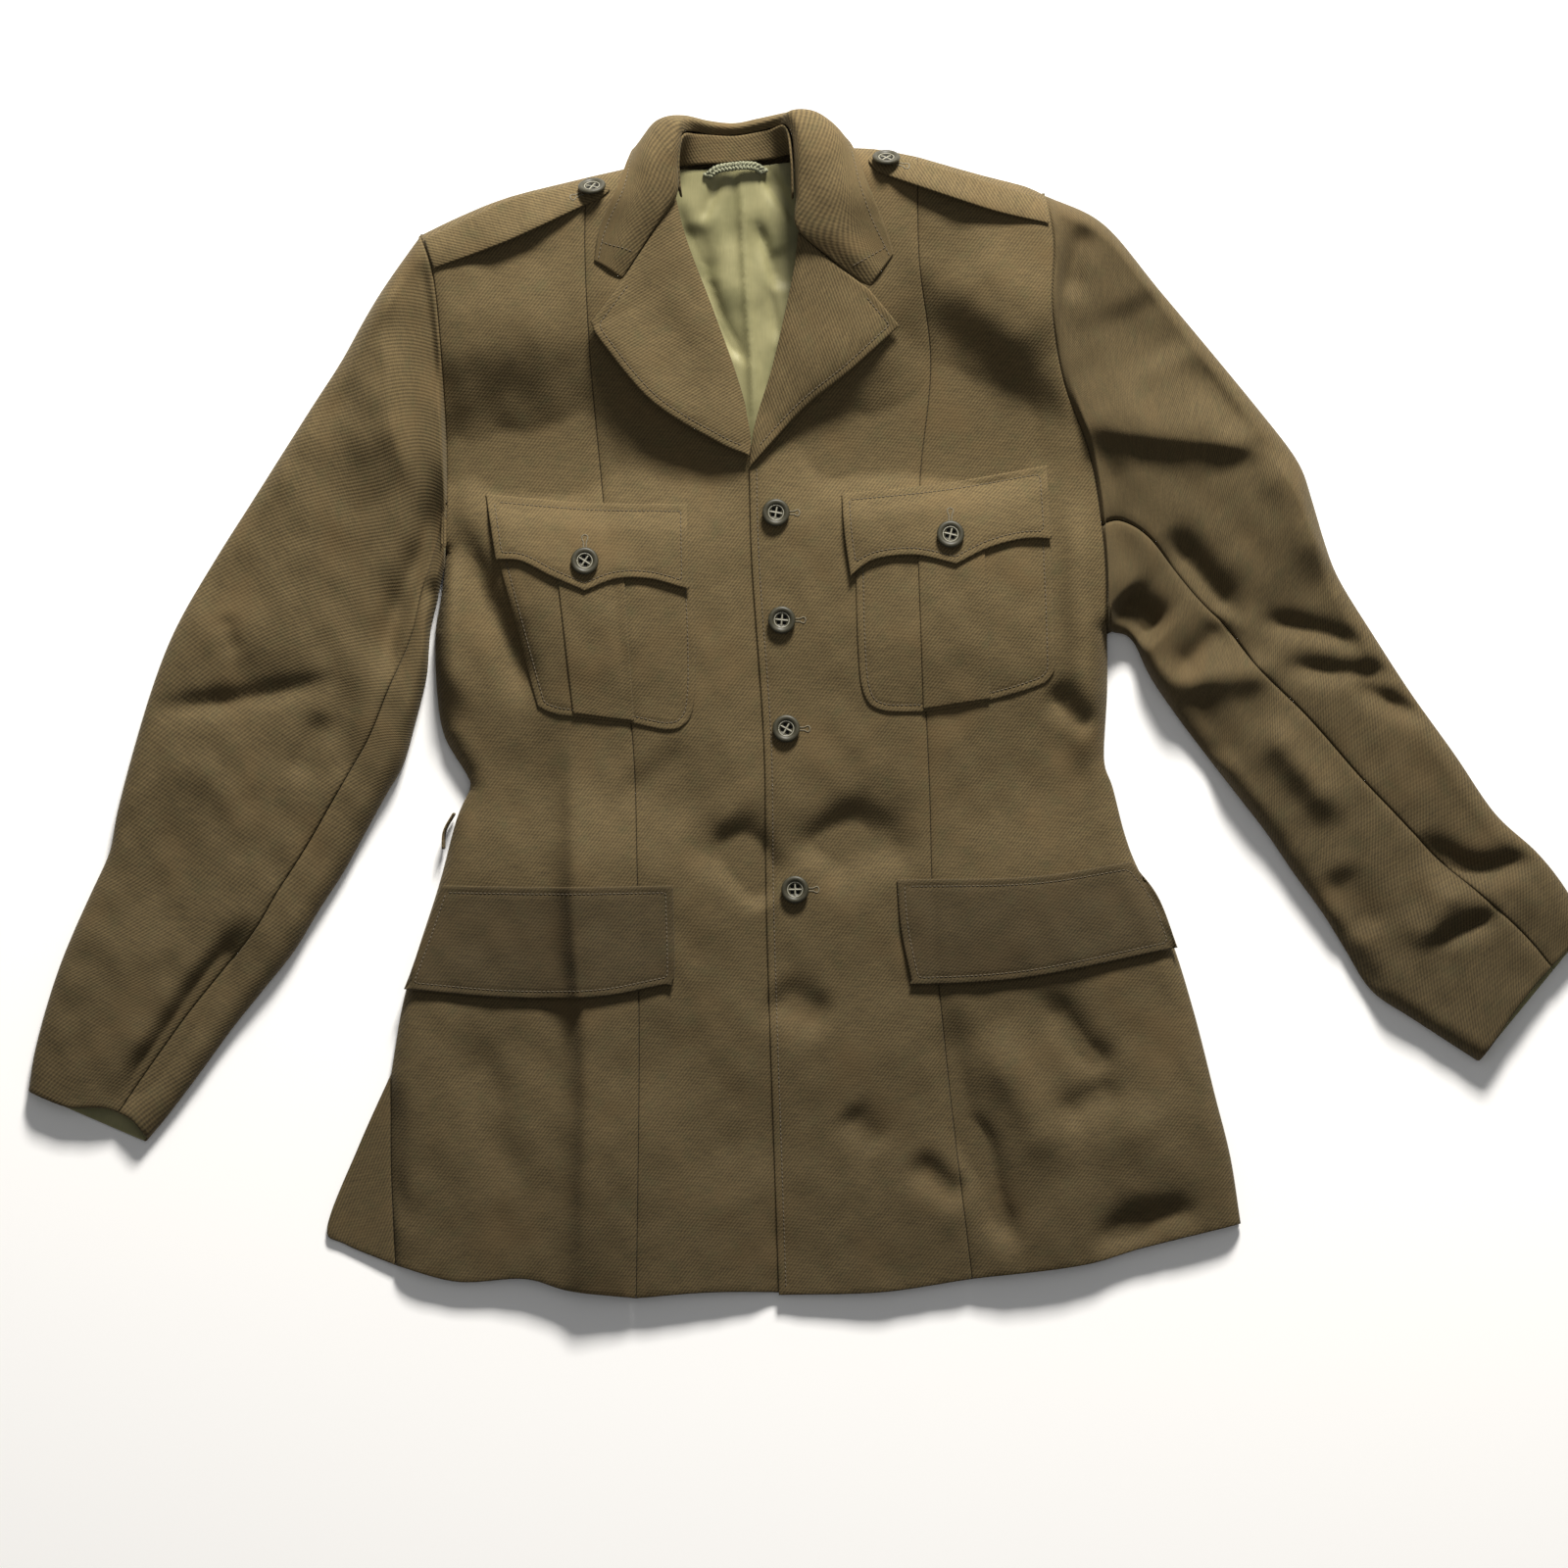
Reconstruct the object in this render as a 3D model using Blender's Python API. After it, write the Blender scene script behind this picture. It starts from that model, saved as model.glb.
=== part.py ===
# Service dress jacket laid flat on its back, front up, collar towards +Y.
# Every length in the tables is in millimetres, measured on the garment as it lies.
# The origin is on the floor under the middle of the garment, +X to its left sleeve, +Z up.
import math

import bmesh
import bpy
import numpy as np
from mathutils import Vector
from mathutils.geometry import delaunay_2d_cdt

MM = 0.001

# Driving dimensions
CLOTH = 2.0            # shell cloth with its interlining
LINING = 0.8
FLAP_CLOTH = 1.8       # flaps, straps and lapels, each made double
POCKET_CLOTH = 1.1     # patch pockets and their pleats
BACK_CLOTH = 1.6
SEAM_GAP = 0.3         # between two pieces that are sewn together
PLY_GAP = 0.4          # between a piece and the one that it lies on
SHEET_STEP = 23.0      # mesh size on the body
BACK_STEP = 60.0       # mesh size on the flat back
BACK_EDGE_STEP = 34.0
BACK_INSET = 1.0       # the back lies just inside the front's folded sides
EDGE_STEP = 17.0       # mesh size along an outline
EDGE_HEIGHT = 4.6      # top of the cloth at a side fold
SIDE_ROLL = 15.0       # how far in a side fold reaches its full height
SHOULDER_ROLL = 24.0
STEEPEST = 2.0         # a wall is thickened for a slope up to this
FALL_RISE = 2.8        # the folded collar lifts the back this much at the neck
CHEST_FLAP_HANG = 0.3  # how far free edges stand off
HIP_FLAP_HANG = 2.0
STRAP_LENGTH = 125.0
STRAP_ARCH = 3.0
LAPEL_ROLL = 2.2
LAPEL_EDGE = 1.8

# Outlines of the body, as curves through these points
ARMHOLE_LEFT = [(-260, 317), (-251, 292), (-245, 234), (-242, 160), (-243, 104)]
ARMHOLE_RIGHT = [(160, 344), (165, 310), (164, 266), (172, 218), (190, 168), (199, 110), (202, 50)]
SIDE_LEFT = [(-243, 104), (-246, 75), (-250, 50), (-249, 10), (-244, -20), (-229, -46), (-227, -55), (-236, -76),
             (-248, -121), (-270, -191), (-280, -247)]
SIDE_SEAM_LEFT = [(-280, -247), (-280, -310), (-277, -376)]
SIDE_RIGHT = [(202, 50), (202, 10), (200, -35), (206, -55), (218, -98), (243, -151),
              (260, -204), (275, -263), (285, -303), (292, -348)]
SHOULDER_LEFT_OUTER = [(-260, 317), (-233, 330), (-200, 343), (-148, 356)]
SHOULDER_LEFT_INNER = [(-148, 356), (-121, 362), (-101, 367)]
SHOULDER_RIGHT_OUTER = [(160, 344), (147, 350), (116, 358), (74, 370)]
SHOULDER_RIGHT_INNER = [(74, 370), (45, 375), (10, 376)]
NECK_LEFT = [(-101, 367), (-94, 355), (-88, 341)]
NECK_RIGHT = [(10, 376), (1, 358), (-6, 318)]
ROLL_LEFT = [(-88, 341), (-80, 311), (-61, 261), (-44, 212), (-37, 173)]
ROLL_RIGHT = [(-6, 318), (-10, 288), (-23, 230), (-35, 190), (-39, 160)]
PRINCESS_LEFT = [(-148, 356), (-149, 300), (-144, 212), (-132, 93), (-118, -13), (-114, -118),
                 (-113, -250), (-115, -398)]
PRINCESS_RIGHT = [(74, 370), (75, 300), (83, 230), (76, 152), (76, 80), (82, -52), (85, -145),
                  (95, -250), (111, -385)]
FRONT_EDGE_RIGHT = [(-39, 160), (-37, 93), (-29, -26), (-27, -151), (-19, -396)]
UNDERLAP_LEFT = [(-37, 173), (-12, 150), (-3, 100), (4, -26), (8, -151), (14, -395)]
HEM_LEFT_SIDE = [(-277, -376), (-235, -387), (-190, -385), (-160, -393), (-115, -398)]
HEM_LEFT_CENTRE = [(-115, -398), (-60, -394), (14, -395)]
HEM_RIGHT_CENTRE = [(-19, -396), (50, -394), (111, -385)]
HEM_BACK = [(-115, -398), (-60, -394), (50, -394), (111, -385)]
NECK_BACK = [(10, 376), (0, 370), (-49, 362), (-90, 362), (-101, 367)]
HEM_RIGHT_SIDE = [(111, -385), (184, -376), (227, -364), (292, -348)]
FLARE_LEFT = [(-280, -247), (-302, -296), (-323, -350), (-311, -362), (-277, -376)]

# Outlines of what is sewn on the fronts, each a list of edges that meet at corners
SEWN_ON = {
    "lapel_left": [
        [(-88, 341), (-107, 312), (-124, 285)],
        [(-124, 285), (-135, 270), (-145, 257)],
        [(-145, 257), (-138, 244), (-104, 204), (-60, 179), (-43, 176)],
        [(-43, 176), (-40, 186), (-44, 212), (-61, 261), (-80, 311), (-88, 341)],
    ],
    "lapel_right": [
        [(-6, 318), (17, 298), (42, 279)],
        [(42, 279), (62, 255)],
        [(62, 255), (29, 225), (-3, 199), (-39, 160)],
        ROLL_RIGHT[::-1],
    ],
    "chest_pocket_left": [
        [(-211, 112), (-184, 11), (-179, -1), (-168, -6)],
        [(-168, -6), (-121, -11), (-95, -16), (-82, -12), (-76, 2), (-75, 40), (-78, 112)],
        [(-78, 112), (-211, 112)],
    ],
    "chest_pocket_right": [
        [(32, 116), (34, 40), (38, 8), (50, -3), (77, -4)],
        [(77, -4), (110, 1), (148, 11), (164, 20), (166, 40), (163, 118)],
        [(163, 118), (32, 116)],
    ],
    "pocket_pleat_left": [
        [(-170, 110), (-157, -5)],
        [(-157, -5), (-116, -10)],
        [(-116, -10), (-124, 110)],
        [(-124, 110), (-170, 110)],
    ],
    "pocket_pleat_right": [
        [(74, 112), (78, -2)],
        [(78, -2), (123, 5)],
        [(123, 5), (119, 112)],
        [(119, 112), (74, 112)],
    ],
    "chest_flap_left": [
        [(-216, 143), (-209, 98)],
        [(-209, 98), (-192, 97), (-172, 87), (-149, 77)],
        [(-149, 77), (-128, 85), (-105, 85), (-79, 78)],
        [(-79, 78), (-80, 136)],
        [(-80, 136), (-145, 137), (-216, 143)],
    ],
    "chest_flap_right": [
        [(23, 143), (25, 115), (29, 87)],
        [(29, 87), (45, 98), (72, 101), (100, 95)],
        [(100, 95), (122, 106), (145, 112), (164, 112)],
        [(164, 112), (161, 162)],
        [(161, 162), (90, 150), (23, 143)],
    ],
    "hip_flap_left": [
        [(-246, -120), (-257, -152), (-271, -190)],
        [(-271, -190), (-200, -196), (-140, -195), (-95, -187)],
        [(-95, -187), (-89, -182), (-90, -120)],
        [(-90, -120), (-170, -121), (-246, -120)],
    ],
    "hip_flap_right": [
        [(60, -116), (63, -150), (70, -184)],
        [(70, -184), (76, -187), (150, -182), (249, -162)],
        [(249, -162), (236, -128), (218, -104)],
        [(218, -104), (150, -114), (60, -116)],
    ],
    "strap_left": [
        [(-257, 314), (-250, 293)],
        [(-250, 293), (-200, 311), (-152, 334), (-139, 340)],
        [(-139, 340), (-132, 347), (-138, 354)],
        [(-138, 354), (-174, 346), (-200, 339), (-257, 314)],
    ],
    "strap_right": [
        [(158, 341), (162, 323)],
        [(162, 323), (122, 332), (68, 350), (47, 358)],
        [(47, 358), (41, 366), (46, 371)],
        [(46, 371), (74, 365), (116, 353), (158, 341)],
    ],
}
LINING_BACK = [
    [(-118, 300), (-108, 350), (-95, 361)],
    [(-95, 361), (-49, 362), (-3, 367)],
    [(-3, 367), (12, 340), (20, 280), (0, 190), (-30, 130)],
    [(-30, 130), (-75, 190), (-118, 300)],
]

# How high the fronts lie, across the body at each level: centre, halfway, side
FRONT_LEVELS = [
    # y, centre, middle, side
    (395, 26, 30, 34),
    (320, 22, 29, 34),
    (240, 19, 24, 29),
    (160, 17, 21, 24),
    (90, 18, 28, 22),
    (0, 17, 25, 19),
    (-60, 16, 18, 15),
    (-150, 15, 17, 15),
    (-260, 13, 17, 15),
    (-400, 10, 13, 11),
]
BODY_WIDTH_LEVELS = [
    # y, centre line, half width
    (395, -45, 170),
    (160, -40, 215),
    (0, -25, 228),
    (-55, -12, 215),
    (-200, -8, 268),
    (-400, -4, 300),
]

# The largest folds. near and far are the fold's widths on its two sides.
BODY_FOLDS = [
    # from x, from y, to x, to y, bow, near, far, height
    (-238, 128, -186, -10, -8, 16, 10, -8),     # sinks beside the left chest pocket
    (-228, 190, -130, 215, -8, 26, 26, -5),     # drag below the left shoulder
    (10, 200, 105, 205, 12, 24, 24, -5),
    (75, 280, 162, 205, 6, 24, 20, -5),
    (-158, 0, -152, -392, 2, 20, 9, 4),         # pressed line down the left front
    (-60, -75, -22, -130, 0, 16, 16, -3),
    (-14, -108, 48, -62, 4, 16, 16, -4),
    (-30, -200, 45, -215, 6, 18, 18, -4),
    (85, -262, 146, -357, 10, 12, 20, -5.5),      # hollows below the right hip pocket
    (164, -196, 212, -238, -8, 14, 16, -5),
    (166, -274, 210, -256, 0, 14, 16, 5),
    (190, -358, 262, -345, 8, 16, 12, 4),
]
LEFT_SLEEVE_FOLDS = [
    # from x, from y, to x, to y, bow, near, far, height
    (-278, 296, -268, 150, 14, 14, 26, 4),
    (-256, 150, -290, 45, 0, 20, 20, -5),
    (-444, -4, -314, 16, -4, 18, 22, -4),
    (-350, -120, -456, -262, 5, 14, 12, -5),
]
RIGHT_SLEEVE_FOLDS = [
    # from x, from y, to x, to y, bow, near, far, height
    (184, 188, 322, 168, 4, 24, 16, 4),
    (318, 168, 350, 96, -4, 12, 22, 4),
    (247, 112, 300, 52, 0, 20, 20, 4),
    (305, 54, 392, 32, 4, 20, 18, -5),
    (300, -14, 360, -72, 4, 16, 20, 4),
    (414, -88, 492, -100, -14, 16, 14, -6),
]

# Cross-sections of the sleeves from armhole to cuff: the two folded edges, the height
# of the cloth between them, and where the front seam lies, as a share of the way across.
LEFT_SLEEVE = [
    # outer x, outer y, inner x, inner y, height, seam
    (-260, 317, -243, 104, 30, 0.85),
    (-289, 275, -250, 74, 26, 0.86),
    (-324, 215, -256, 34, 24, 0.86),
    (-362, 157, -264, -6, 21, 0.84),
    (-405, 88, -270, -33, 19, 0.84),
    (-443, 5, -290, -72, 18, 0.83),
    (-465, -72, -325, -132, 17, 0.80),
    (-487, -137, -366, -191, 16, 0.77),
    (-507, -190, -402, -238, 15, 0.74),
    (-524, -259, -445, -293, 13, 0.70),
]
RIGHT_SLEEVE = [
    # outer x, outer y, inner x, inner y, height, seam
    (160, 344, 202, 50, 30, 0.76),
    (200, 324, 208, 50, 27, 0.73),
    (240, 276, 216, 46, 25, 0.70),
    (285, 222, 228, 28, 23, 0.67),
    (328, 169, 243, 1, 22, 0.64),
    (350, 108, 262, -24, 21, 0.58),
    (382, 47, 289, -59, 20, 0.50),
    (422, -12, 318, -98, 18, 0.45),
    (460, -68, 346, -138, 17, 0.38),
    (500, -108, 385, -194, 16, 0.32),
    (524, -151, 452, -239, 14, 0.30),
]
SLEEVE_ROLL = 13.0      # width of the rounded edge on top
SLEEVE_UNDER_ROLL = 6.0
SLEEVE_WIDEST = 4.5     # height at which a folded edge stands out most
HIND_SEAM = 0.3         # share of the way across, on the underside
SLEEVE_SEAM_GAP = 0.5
UNDERARM_GAP = 1.2
SLEEVE_ROWS = 22
OVER_COLUMNS = (9, 4)     # on top and on the underside
REST_COLUMNS = (5, 6)

# Sections of the collar from its left end round the neck: the line along which it folds,
# a point half way down its outer leaf, and the leaf's free edge.
COLLAR = [
    # fold x, y, z, then three points across the outer leaf to its free edge
    ((-124.5, 287, 31), (-131, 291, 33), (-137, 295, 33), (-143, 298, 32)),
    ((-108, 313, 34), (-118, 316, 37), (-129, 318, 36), (-139, 321, 34)),
    ((-92, 340, 38), (-104, 342, 41), (-116, 345, 39), (-128, 347, 36)),
    ((-92, 362, 41), (-104, 364, 41), (-114, 366, 33), (-121, 367, 22)),
    ((-91, 376, 41), (-103, 380, 34), (-111, 381, 22), (-116, 375, 9)),
    ((-88, 386, 38), (-100, 392, 24), (-106, 388, 7), (-108, 364, 0)),
    ((-78, 389, 29), (-86, 397, 15), (-90, 388, 2), (-92, 352, 0)),
    ((-62, 387.5, 22), (-66, 395, 11), (-68, 384, 1), (-70, 347, 0)),
    ((-49, 387, 20), (-49, 394, 10), (-49, 382, 0.6), (-49, 346, 0)),
    ((-36, 389, 22), (-33, 396, 11), (-31, 385, 1), (-30, 347, 0)),
    ((-20, 393, 30), (-12, 400, 15), (-9, 391, 2), (-11, 352, 0)),
    ((-10, 396, 39), (4, 400, 24), (8, 396, 7), (9, 385, 0.4)),
    ((-4, 385, 43), (10, 391, 35), (19, 390, 22), (22, 384, 9)),
    ((-3, 368, 44), (12, 374, 42), (24, 377, 33), (31, 376, 22)),
    ((-4, 342, 41), (12, 346, 43), (27, 348, 41), (41, 350, 37)),
    ((-5, 320, 37), (14, 322, 40), (33, 325, 38), (50, 328, 35)),
    ((18, 300, 33), (30, 304, 36), (43, 309, 35), (55, 314, 33)),
    ((42.5, 281.5, 30), (48, 289, 33), (53, 296, 33), (58, 303, 32)),
]
# The stand inside the collar: the neck seam and its top, just under the fold.
COLLAR_STAND = [
    # neck, top
    ((-85, 341, 25), (-86, 346, 32)),
    ((-88, 352, 17), (-87, 366, 37)),
    ((-88, 363, 11), (-84, 382, 33)),
    ((-72, 364.5, 8.5), (-73, 384, 20)),
    ((-49, 365.5, 8), (-49, 381, 17)),
    ((-26, 368, 8.5), (-27, 385, 20)),
    ((-10, 371, 11), (-14, 389, 33)),
    ((-9, 356, 17), (-10, 368, 38)),
    ((-9, 340, 25), (-9, 343, 35)),
]
COLLAR_CLOTH = 2.2
STAND_CLOTH = 1.6

BUTTON_RADIUS = 9.3
BUTTON_SEAT = 0.4
BUTTON_PROFILE = [
    # share of the radius, height
    (0.0, 2.4),
    (0.55, 2.4),
    (0.8, 3.6),
    (1.0, 2.0),
    (0.5, 0.0),
    (0.0, 0.0),
]
BUTTON_SIDES = 14
BUTTONS = [
    # name, x, y, what it is sewn on
    ("button_front_1", -21, 130, "front_right"),
    ("button_front_2", -17, 58, "front_right"),
    ("button_front_3", -14, -15, "front_right"),
    ("button_front_4", -8, -123, "front_right"),
    ("button_chest_left", -149, 97, "chest_flap_left"),
    ("button_chest_right", 96, 115, "chest_flap_right"),
    ("button_strap_left", -144, 347, "strap_left"),
    ("button_strap_right", 53, 366, "strap_right"),
]
HANGER_LOOP = [(-66, 357, 0), (-60, 361, 2), (-48, 363, 3), (-36, 363, 2), (-30, 360, 0)]
HANGER_LOOP_RADIUS = 2.0
CORD_SIDES = 8
BELT_LOOP = [(-236.6, -72, 2.4), (-243, -84, 2.0), (-244, -96, 2.4)]
BELT_LOOP_SIZE = (1.4, 9.0)

# Colours as Blender's base colour, with roughness
FINISHES = {
    "cloth": ((0.105, 0.078, 0.041), 0.88),
    "lining": ((0.165, 0.150, 0.072), 0.45),
    "button": ((0.050, 0.052, 0.038), 0.42),
    "braid": ((0.060, 0.066, 0.036), 0.80),
}


def clear_scene():
    for obj in list(bpy.data.objects):
        bpy.data.objects.remove(obj, do_unlink=True)


def finish(name):
    """The named material, made once."""
    material = bpy.data.materials.get(name)
    if material is None:
        material = bpy.data.materials.new(name)
        material.use_nodes = True
        shader = material.node_tree.nodes["Principled BSDF"]
        colour, roughness = FINISHES[name]
        shader.inputs["Base Color"].default_value = (*colour, 1.0)
        shader.inputs["Roughness"].default_value = roughness
        shader.inputs["Metallic"].default_value = 0.0
    return material


def add_object(name, points_mm, faces, material):
    mesh = bpy.data.meshes.new(name)
    mesh.from_pydata([Vector(p) * MM for p in points_mm], [], faces)
    solid = bmesh.new()
    solid.from_mesh(mesh)
    bmesh.ops.triangulate(solid, faces=solid.faces[:])
    if solid.calc_volume(signed=True) < 0:
        bmesh.ops.reverse_faces(solid, faces=solid.faces[:])
    solid.to_mesh(mesh)
    solid.free()
    mesh.materials.append(finish(material))
    obj = bpy.data.objects.new(name, mesh)
    bpy.context.scene.collection.objects.link(obj)
    return obj


# Curves and distances in the plane

def curve(points, step=EDGE_STEP):
    """Points about a step apart on a smooth curve through the given ones."""
    knots = np.array(points, float)
    ends = np.vstack([2 * knots[0] - knots[1], knots, 2 * knots[-1] - knots[-2]])
    made = []
    for a, b, c, d in zip(ends, ends[1:], ends[2:], ends[3:]):
        count = max(1, round(np.linalg.norm(c - b) / step))
        for t in np.arange(count) / count:
            made.append(0.5 * (2 * b + (c - a) * t + (2 * a - 5 * b + 4 * c - d) * t**2
                               + (3 * b - a - 3 * c + d) * t**3))
    made.append(knots[-1])
    return np.array(made)


def outline(edges, step=EDGE_STEP):
    """A closed outline from edges that run end to end. An edge given as an array is kept as is."""
    drawn = [edge if isinstance(edge, np.ndarray) else curve(edge, step) for edge in edges]
    return np.vstack([line[:-1] for line in drawn])


def distance(x, y, line):
    """Distance from each point to a polyline."""
    nearest = np.full(np.shape(x), 1e9)
    for (ax, ay), (bx, by) in zip(line, line[1:]):
        dx, dy = bx - ax, by - ay
        share = np.clip(((x - ax) * dx + (y - ay) * dy) / (dx * dx + dy * dy), 0, 1)
        nearest = np.minimum(nearest, np.hypot(x - ax - share * dx, y - ay - share * dy))
    return nearest


def inside(x, y, polygon):
    crossings = np.zeros(np.shape(x), int)
    for (ax, ay), (bx, by) in zip(polygon, np.roll(polygon, -1, axis=0)):
        if ay != by:
            spans = (ay > y) != (by > y)
            crossings += spans & (x < (bx - ax) * (y - ay) / (by - ay) + ax)
    return crossings % 2 == 1


def soft_step(value, low, high):
    t = np.clip((value - low) / (high - low), 0, 1)
    return t * t * (3 - 2 * t)


def soft_table(value, rows, column):
    """A table's column read at a value of its first column, with no kinks at the rows."""
    rows = sorted(rows)
    places = np.array([row[0] for row in rows], float)
    column_values = np.array([row[column] for row in rows], float)
    slopes = np.gradient(column_values, places)
    value = np.clip(value, places[0], places[-1])
    i = np.clip(np.searchsorted(places, value, side="right") - 1, 0, len(places) - 2)
    span = places[i + 1] - places[i]
    t = (value - places[i]) / span
    return ((2 * t**3 - 3 * t**2 + 1) * column_values[i] + (t**3 - 2 * t**2 + t) * span * slopes[i]
            + (3 * t**2 - 2 * t**3) * column_values[i + 1] + (t**3 - t**2) * span * slopes[i + 1])


def folded(x, y, folds):
    """Height that the folds add at each point."""
    total = np.zeros(np.shape(x))
    for from_x, from_y, to_x, to_y, bow, near, far, height in folds:
        length = math.hypot(to_x - from_x, to_y - from_y)
        ux, uy = (to_x - from_x) / length, (to_y - from_y) / length
        along = ((x - from_x) * ux + (y - from_y) * uy) / length
        clipped = np.clip(along, 0, 1)
        across = (y - from_y) * ux - (x - from_x) * uy - bow * 4 * clipped * (1 - clipped)
        width = np.where(across < 0, near, far)
        taper = soft_step(along, -0.05, 0.3) * (1 - soft_step(along, 0.7, 1.05))
        total += height * taper * np.exp(-((across / width) ** 2))
    return total


def crest(fold):
    """The line along the top or bottom of a fold."""
    from_x, from_y, to_x, to_y, bow = fold[:5]
    length = math.hypot(to_x - from_x, to_y - from_y)
    along = np.array([to_x - from_x, to_y - from_y]) / length
    share = np.linspace(0, 1, max(2, round(length / SHEET_STEP)) + 1)[:, None]
    bowed = np.array([-along[1], along[0]]) * bow * 4 * share * (1 - share)
    return np.array([from_x, from_y]) + along * length * share + bowed


# Heights of the body's layers

SIDE_FOLDS = [curve(SIDE_LEFT), curve(SIDE_SEAM_LEFT), curve(SIDE_RIGHT)]
SHOULDER_FOLDS = [curve(line) for line in (SHOULDER_LEFT_OUTER, SHOULDER_LEFT_INNER,
                                           SHOULDER_RIGHT_OUTER, SHOULDER_RIGHT_INNER)]


def rounded(depth, roll):
    share = np.clip(depth / roll, 0, 1)
    return np.sqrt(np.clip(1 - (1 - share) ** 2, 0, 1))


def back_rise(x, y):
    """How far the folded collar lifts the back off the floor at the neck."""
    return FALL_RISE * soft_step(y, 310, 338) * soft_step(x, -165, -128) * (1 - soft_step(x, 45, 80))


def front_height(x, y):
    """Top of the fronts: a plump flat form, rounded down at the side and shoulder folds."""
    centre = soft_table(y, BODY_WIDTH_LEVELS, 1)
    share = np.clip(np.abs(x - centre) / soft_table(y, BODY_WIDTH_LEVELS, 2), 0, 1)
    low, middle, high = (soft_table(y, FRONT_LEVELS, column) for column in (1, 2, 3))
    plump = np.where(share < 0.5, low + (middle - low) * soft_step(share, 0, 0.5),
                     middle + (high - middle) * soft_step(share, 0.5, 1))
    side = np.min([distance(x, y, line) for line in SIDE_FOLDS], axis=0)
    shoulder = np.min([distance(x, y, line) for line in SHOULDER_FOLDS], axis=0)
    edge = rounded(side, SIDE_ROLL) * rounded(shoulder, SHOULDER_ROLL)
    plump = plump + folded(x, y, BODY_FOLDS)
    rim = EDGE_HEIGHT + back_rise(x, y)
    return rim + np.maximum(plump - rim, 1) * edge


def back_top(x, y):
    return BACK_CLOTH + back_rise(x, y)


def lining_height(x, y):
    """Top of the lining, which lies on the back with a pleat down its middle."""
    crease = 0.7 + 0.7 * np.sin(0.16 * x + 0.03 * y) * np.sin(0.045 * y + 0.5)
    pleat = 0.9 * soft_step(x, -46, -41)
    return back_top(x, y) + PLY_GAP + LINING + crease + pleat


def wall_factor(height, x, y):
    """How much longer a plumb line through a sloping wall is than the wall's thickness."""
    step = 1.0
    slope_x = (height(x + step, y) - height(x - step, y)) / (2 * step)
    slope_y = (height(x, y + step) - height(x, y - step)) / (2 * step)
    return np.sqrt(1 + np.minimum(slope_x**2 + slope_y**2, STEEPEST**2))


# One sheet of points that all the body's front pieces are cut from

def roll_lines():
    """Lines just inside the side and shoulder folds, so that the mesh follows the roll."""
    middle = np.array([-20, 0])
    made = []
    for lines, offsets in ((SIDE_FOLDS, (2.5, 8)), (SHOULDER_FOLDS, (12,))):
        for line in lines:
            along = np.gradient(line, axis=0)
            across = np.stack([-along[:, 1], along[:, 0]], 1) / np.hypot(*along.T)[:, None]
            across *= np.sign(((middle - line) * across).sum(1))[:, None]
            made += [(line + across * offset)[1:-1] for offset in offsets]
    return made


def cutting_sheet(outlines, lines, step):
    """Triangles that have every outline among their edges."""
    points, edges = [], []
    for shape, closed in [(o, True) for o in outlines] + [(l, False) for l in lines]:
        first = len(points)
        points += [tuple(p) for p in shape]
        edges += [(first + i, first + i + 1) for i in range(len(shape) - 1)]
        if closed:
            edges.append((len(points) - 1, first))
    drawn = np.array(points)
    low, high = drawn.min(axis=0), drawn.max(axis=0)
    row_step = step * math.sqrt(3) / 2
    for row in range(int((high[1] - low[1]) / row_step) + 1):
        y = low[1] + row * row_step
        for column in range(int((high[0] - low[0]) / step) + 1):
            x = low[0] + (column + 0.5 * (row % 2)) * step
            if np.hypot(*(drawn - (x, y)).T).min() > 0.55 * step:
                points.append((x, y))
    made = delaunay_2d_cdt([Vector(p) for p in points], edges, [], 0, 0.5, False)
    return np.array([tuple(p) for p in made[0]]), np.array(made[2])


def inset_rim(points, rim, amount):
    """Rim points moved inwards, which leaves half of a seam's gap on this side."""
    order = {a: b for a, b in rim}
    before = {b: a for a, b in rim}
    moved = points.copy()
    for at, after in order.items():
        into, out = points[at] - points[before[at]], points[after] - points[at]
        side = into / np.linalg.norm(into) + out / np.linalg.norm(out)
        inward = np.array([-side[1], side[0]]) / max(np.linalg.norm(side), 0.2)
        moved[at] = points[at] + inward * amount
    return moved


def cut_piece(name, sheet, shape, top, bottom, material="cloth", gap=SEAM_GAP):
    """A wall of cloth inside an outline, between two heights over the sheet's points."""
    points, triangles = sheet
    middles = points[triangles].mean(axis=1)
    kept = triangles[inside(middles[:, 0], middles[:, 1], shape)]
    used = np.unique(kept)
    new = {old: i for i, old in enumerate(used)}
    kept = np.array([[new[i] for i in triangle] for triangle in kept])
    flat = points[used]
    area = np.cross(flat[kept[:, 1]] - flat[kept[:, 0]], flat[kept[:, 2]] - flat[kept[:, 0]])
    kept[area < 0] = kept[area < 0][:, ::-1]
    sides = {(t[i], t[(i + 1) % 3]) for t in kept for i in range(3)}
    rim = [(a, b) for a, b in sides if (b, a) not in sides]
    upper, lower = top(*flat.T), bottom(*flat.T)
    flat = inset_rim(flat, rim, gap / 2)
    count = len(flat)
    vertices = [(x, y, z) for (x, y), z in zip(flat, upper)]
    vertices += [(x, y, z) for (x, y), z in zip(flat, lower)]
    faces = [tuple(int(i) for i in t) for t in kept]
    faces += [tuple(int(i) + count for i in t[::-1]) for t in kept]
    faces += [(int(b), int(a), int(a) + count, int(b) + count) for a, b in rim]
    return add_object(name, vertices, faces, material)


# Walls made from rows of points

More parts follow.
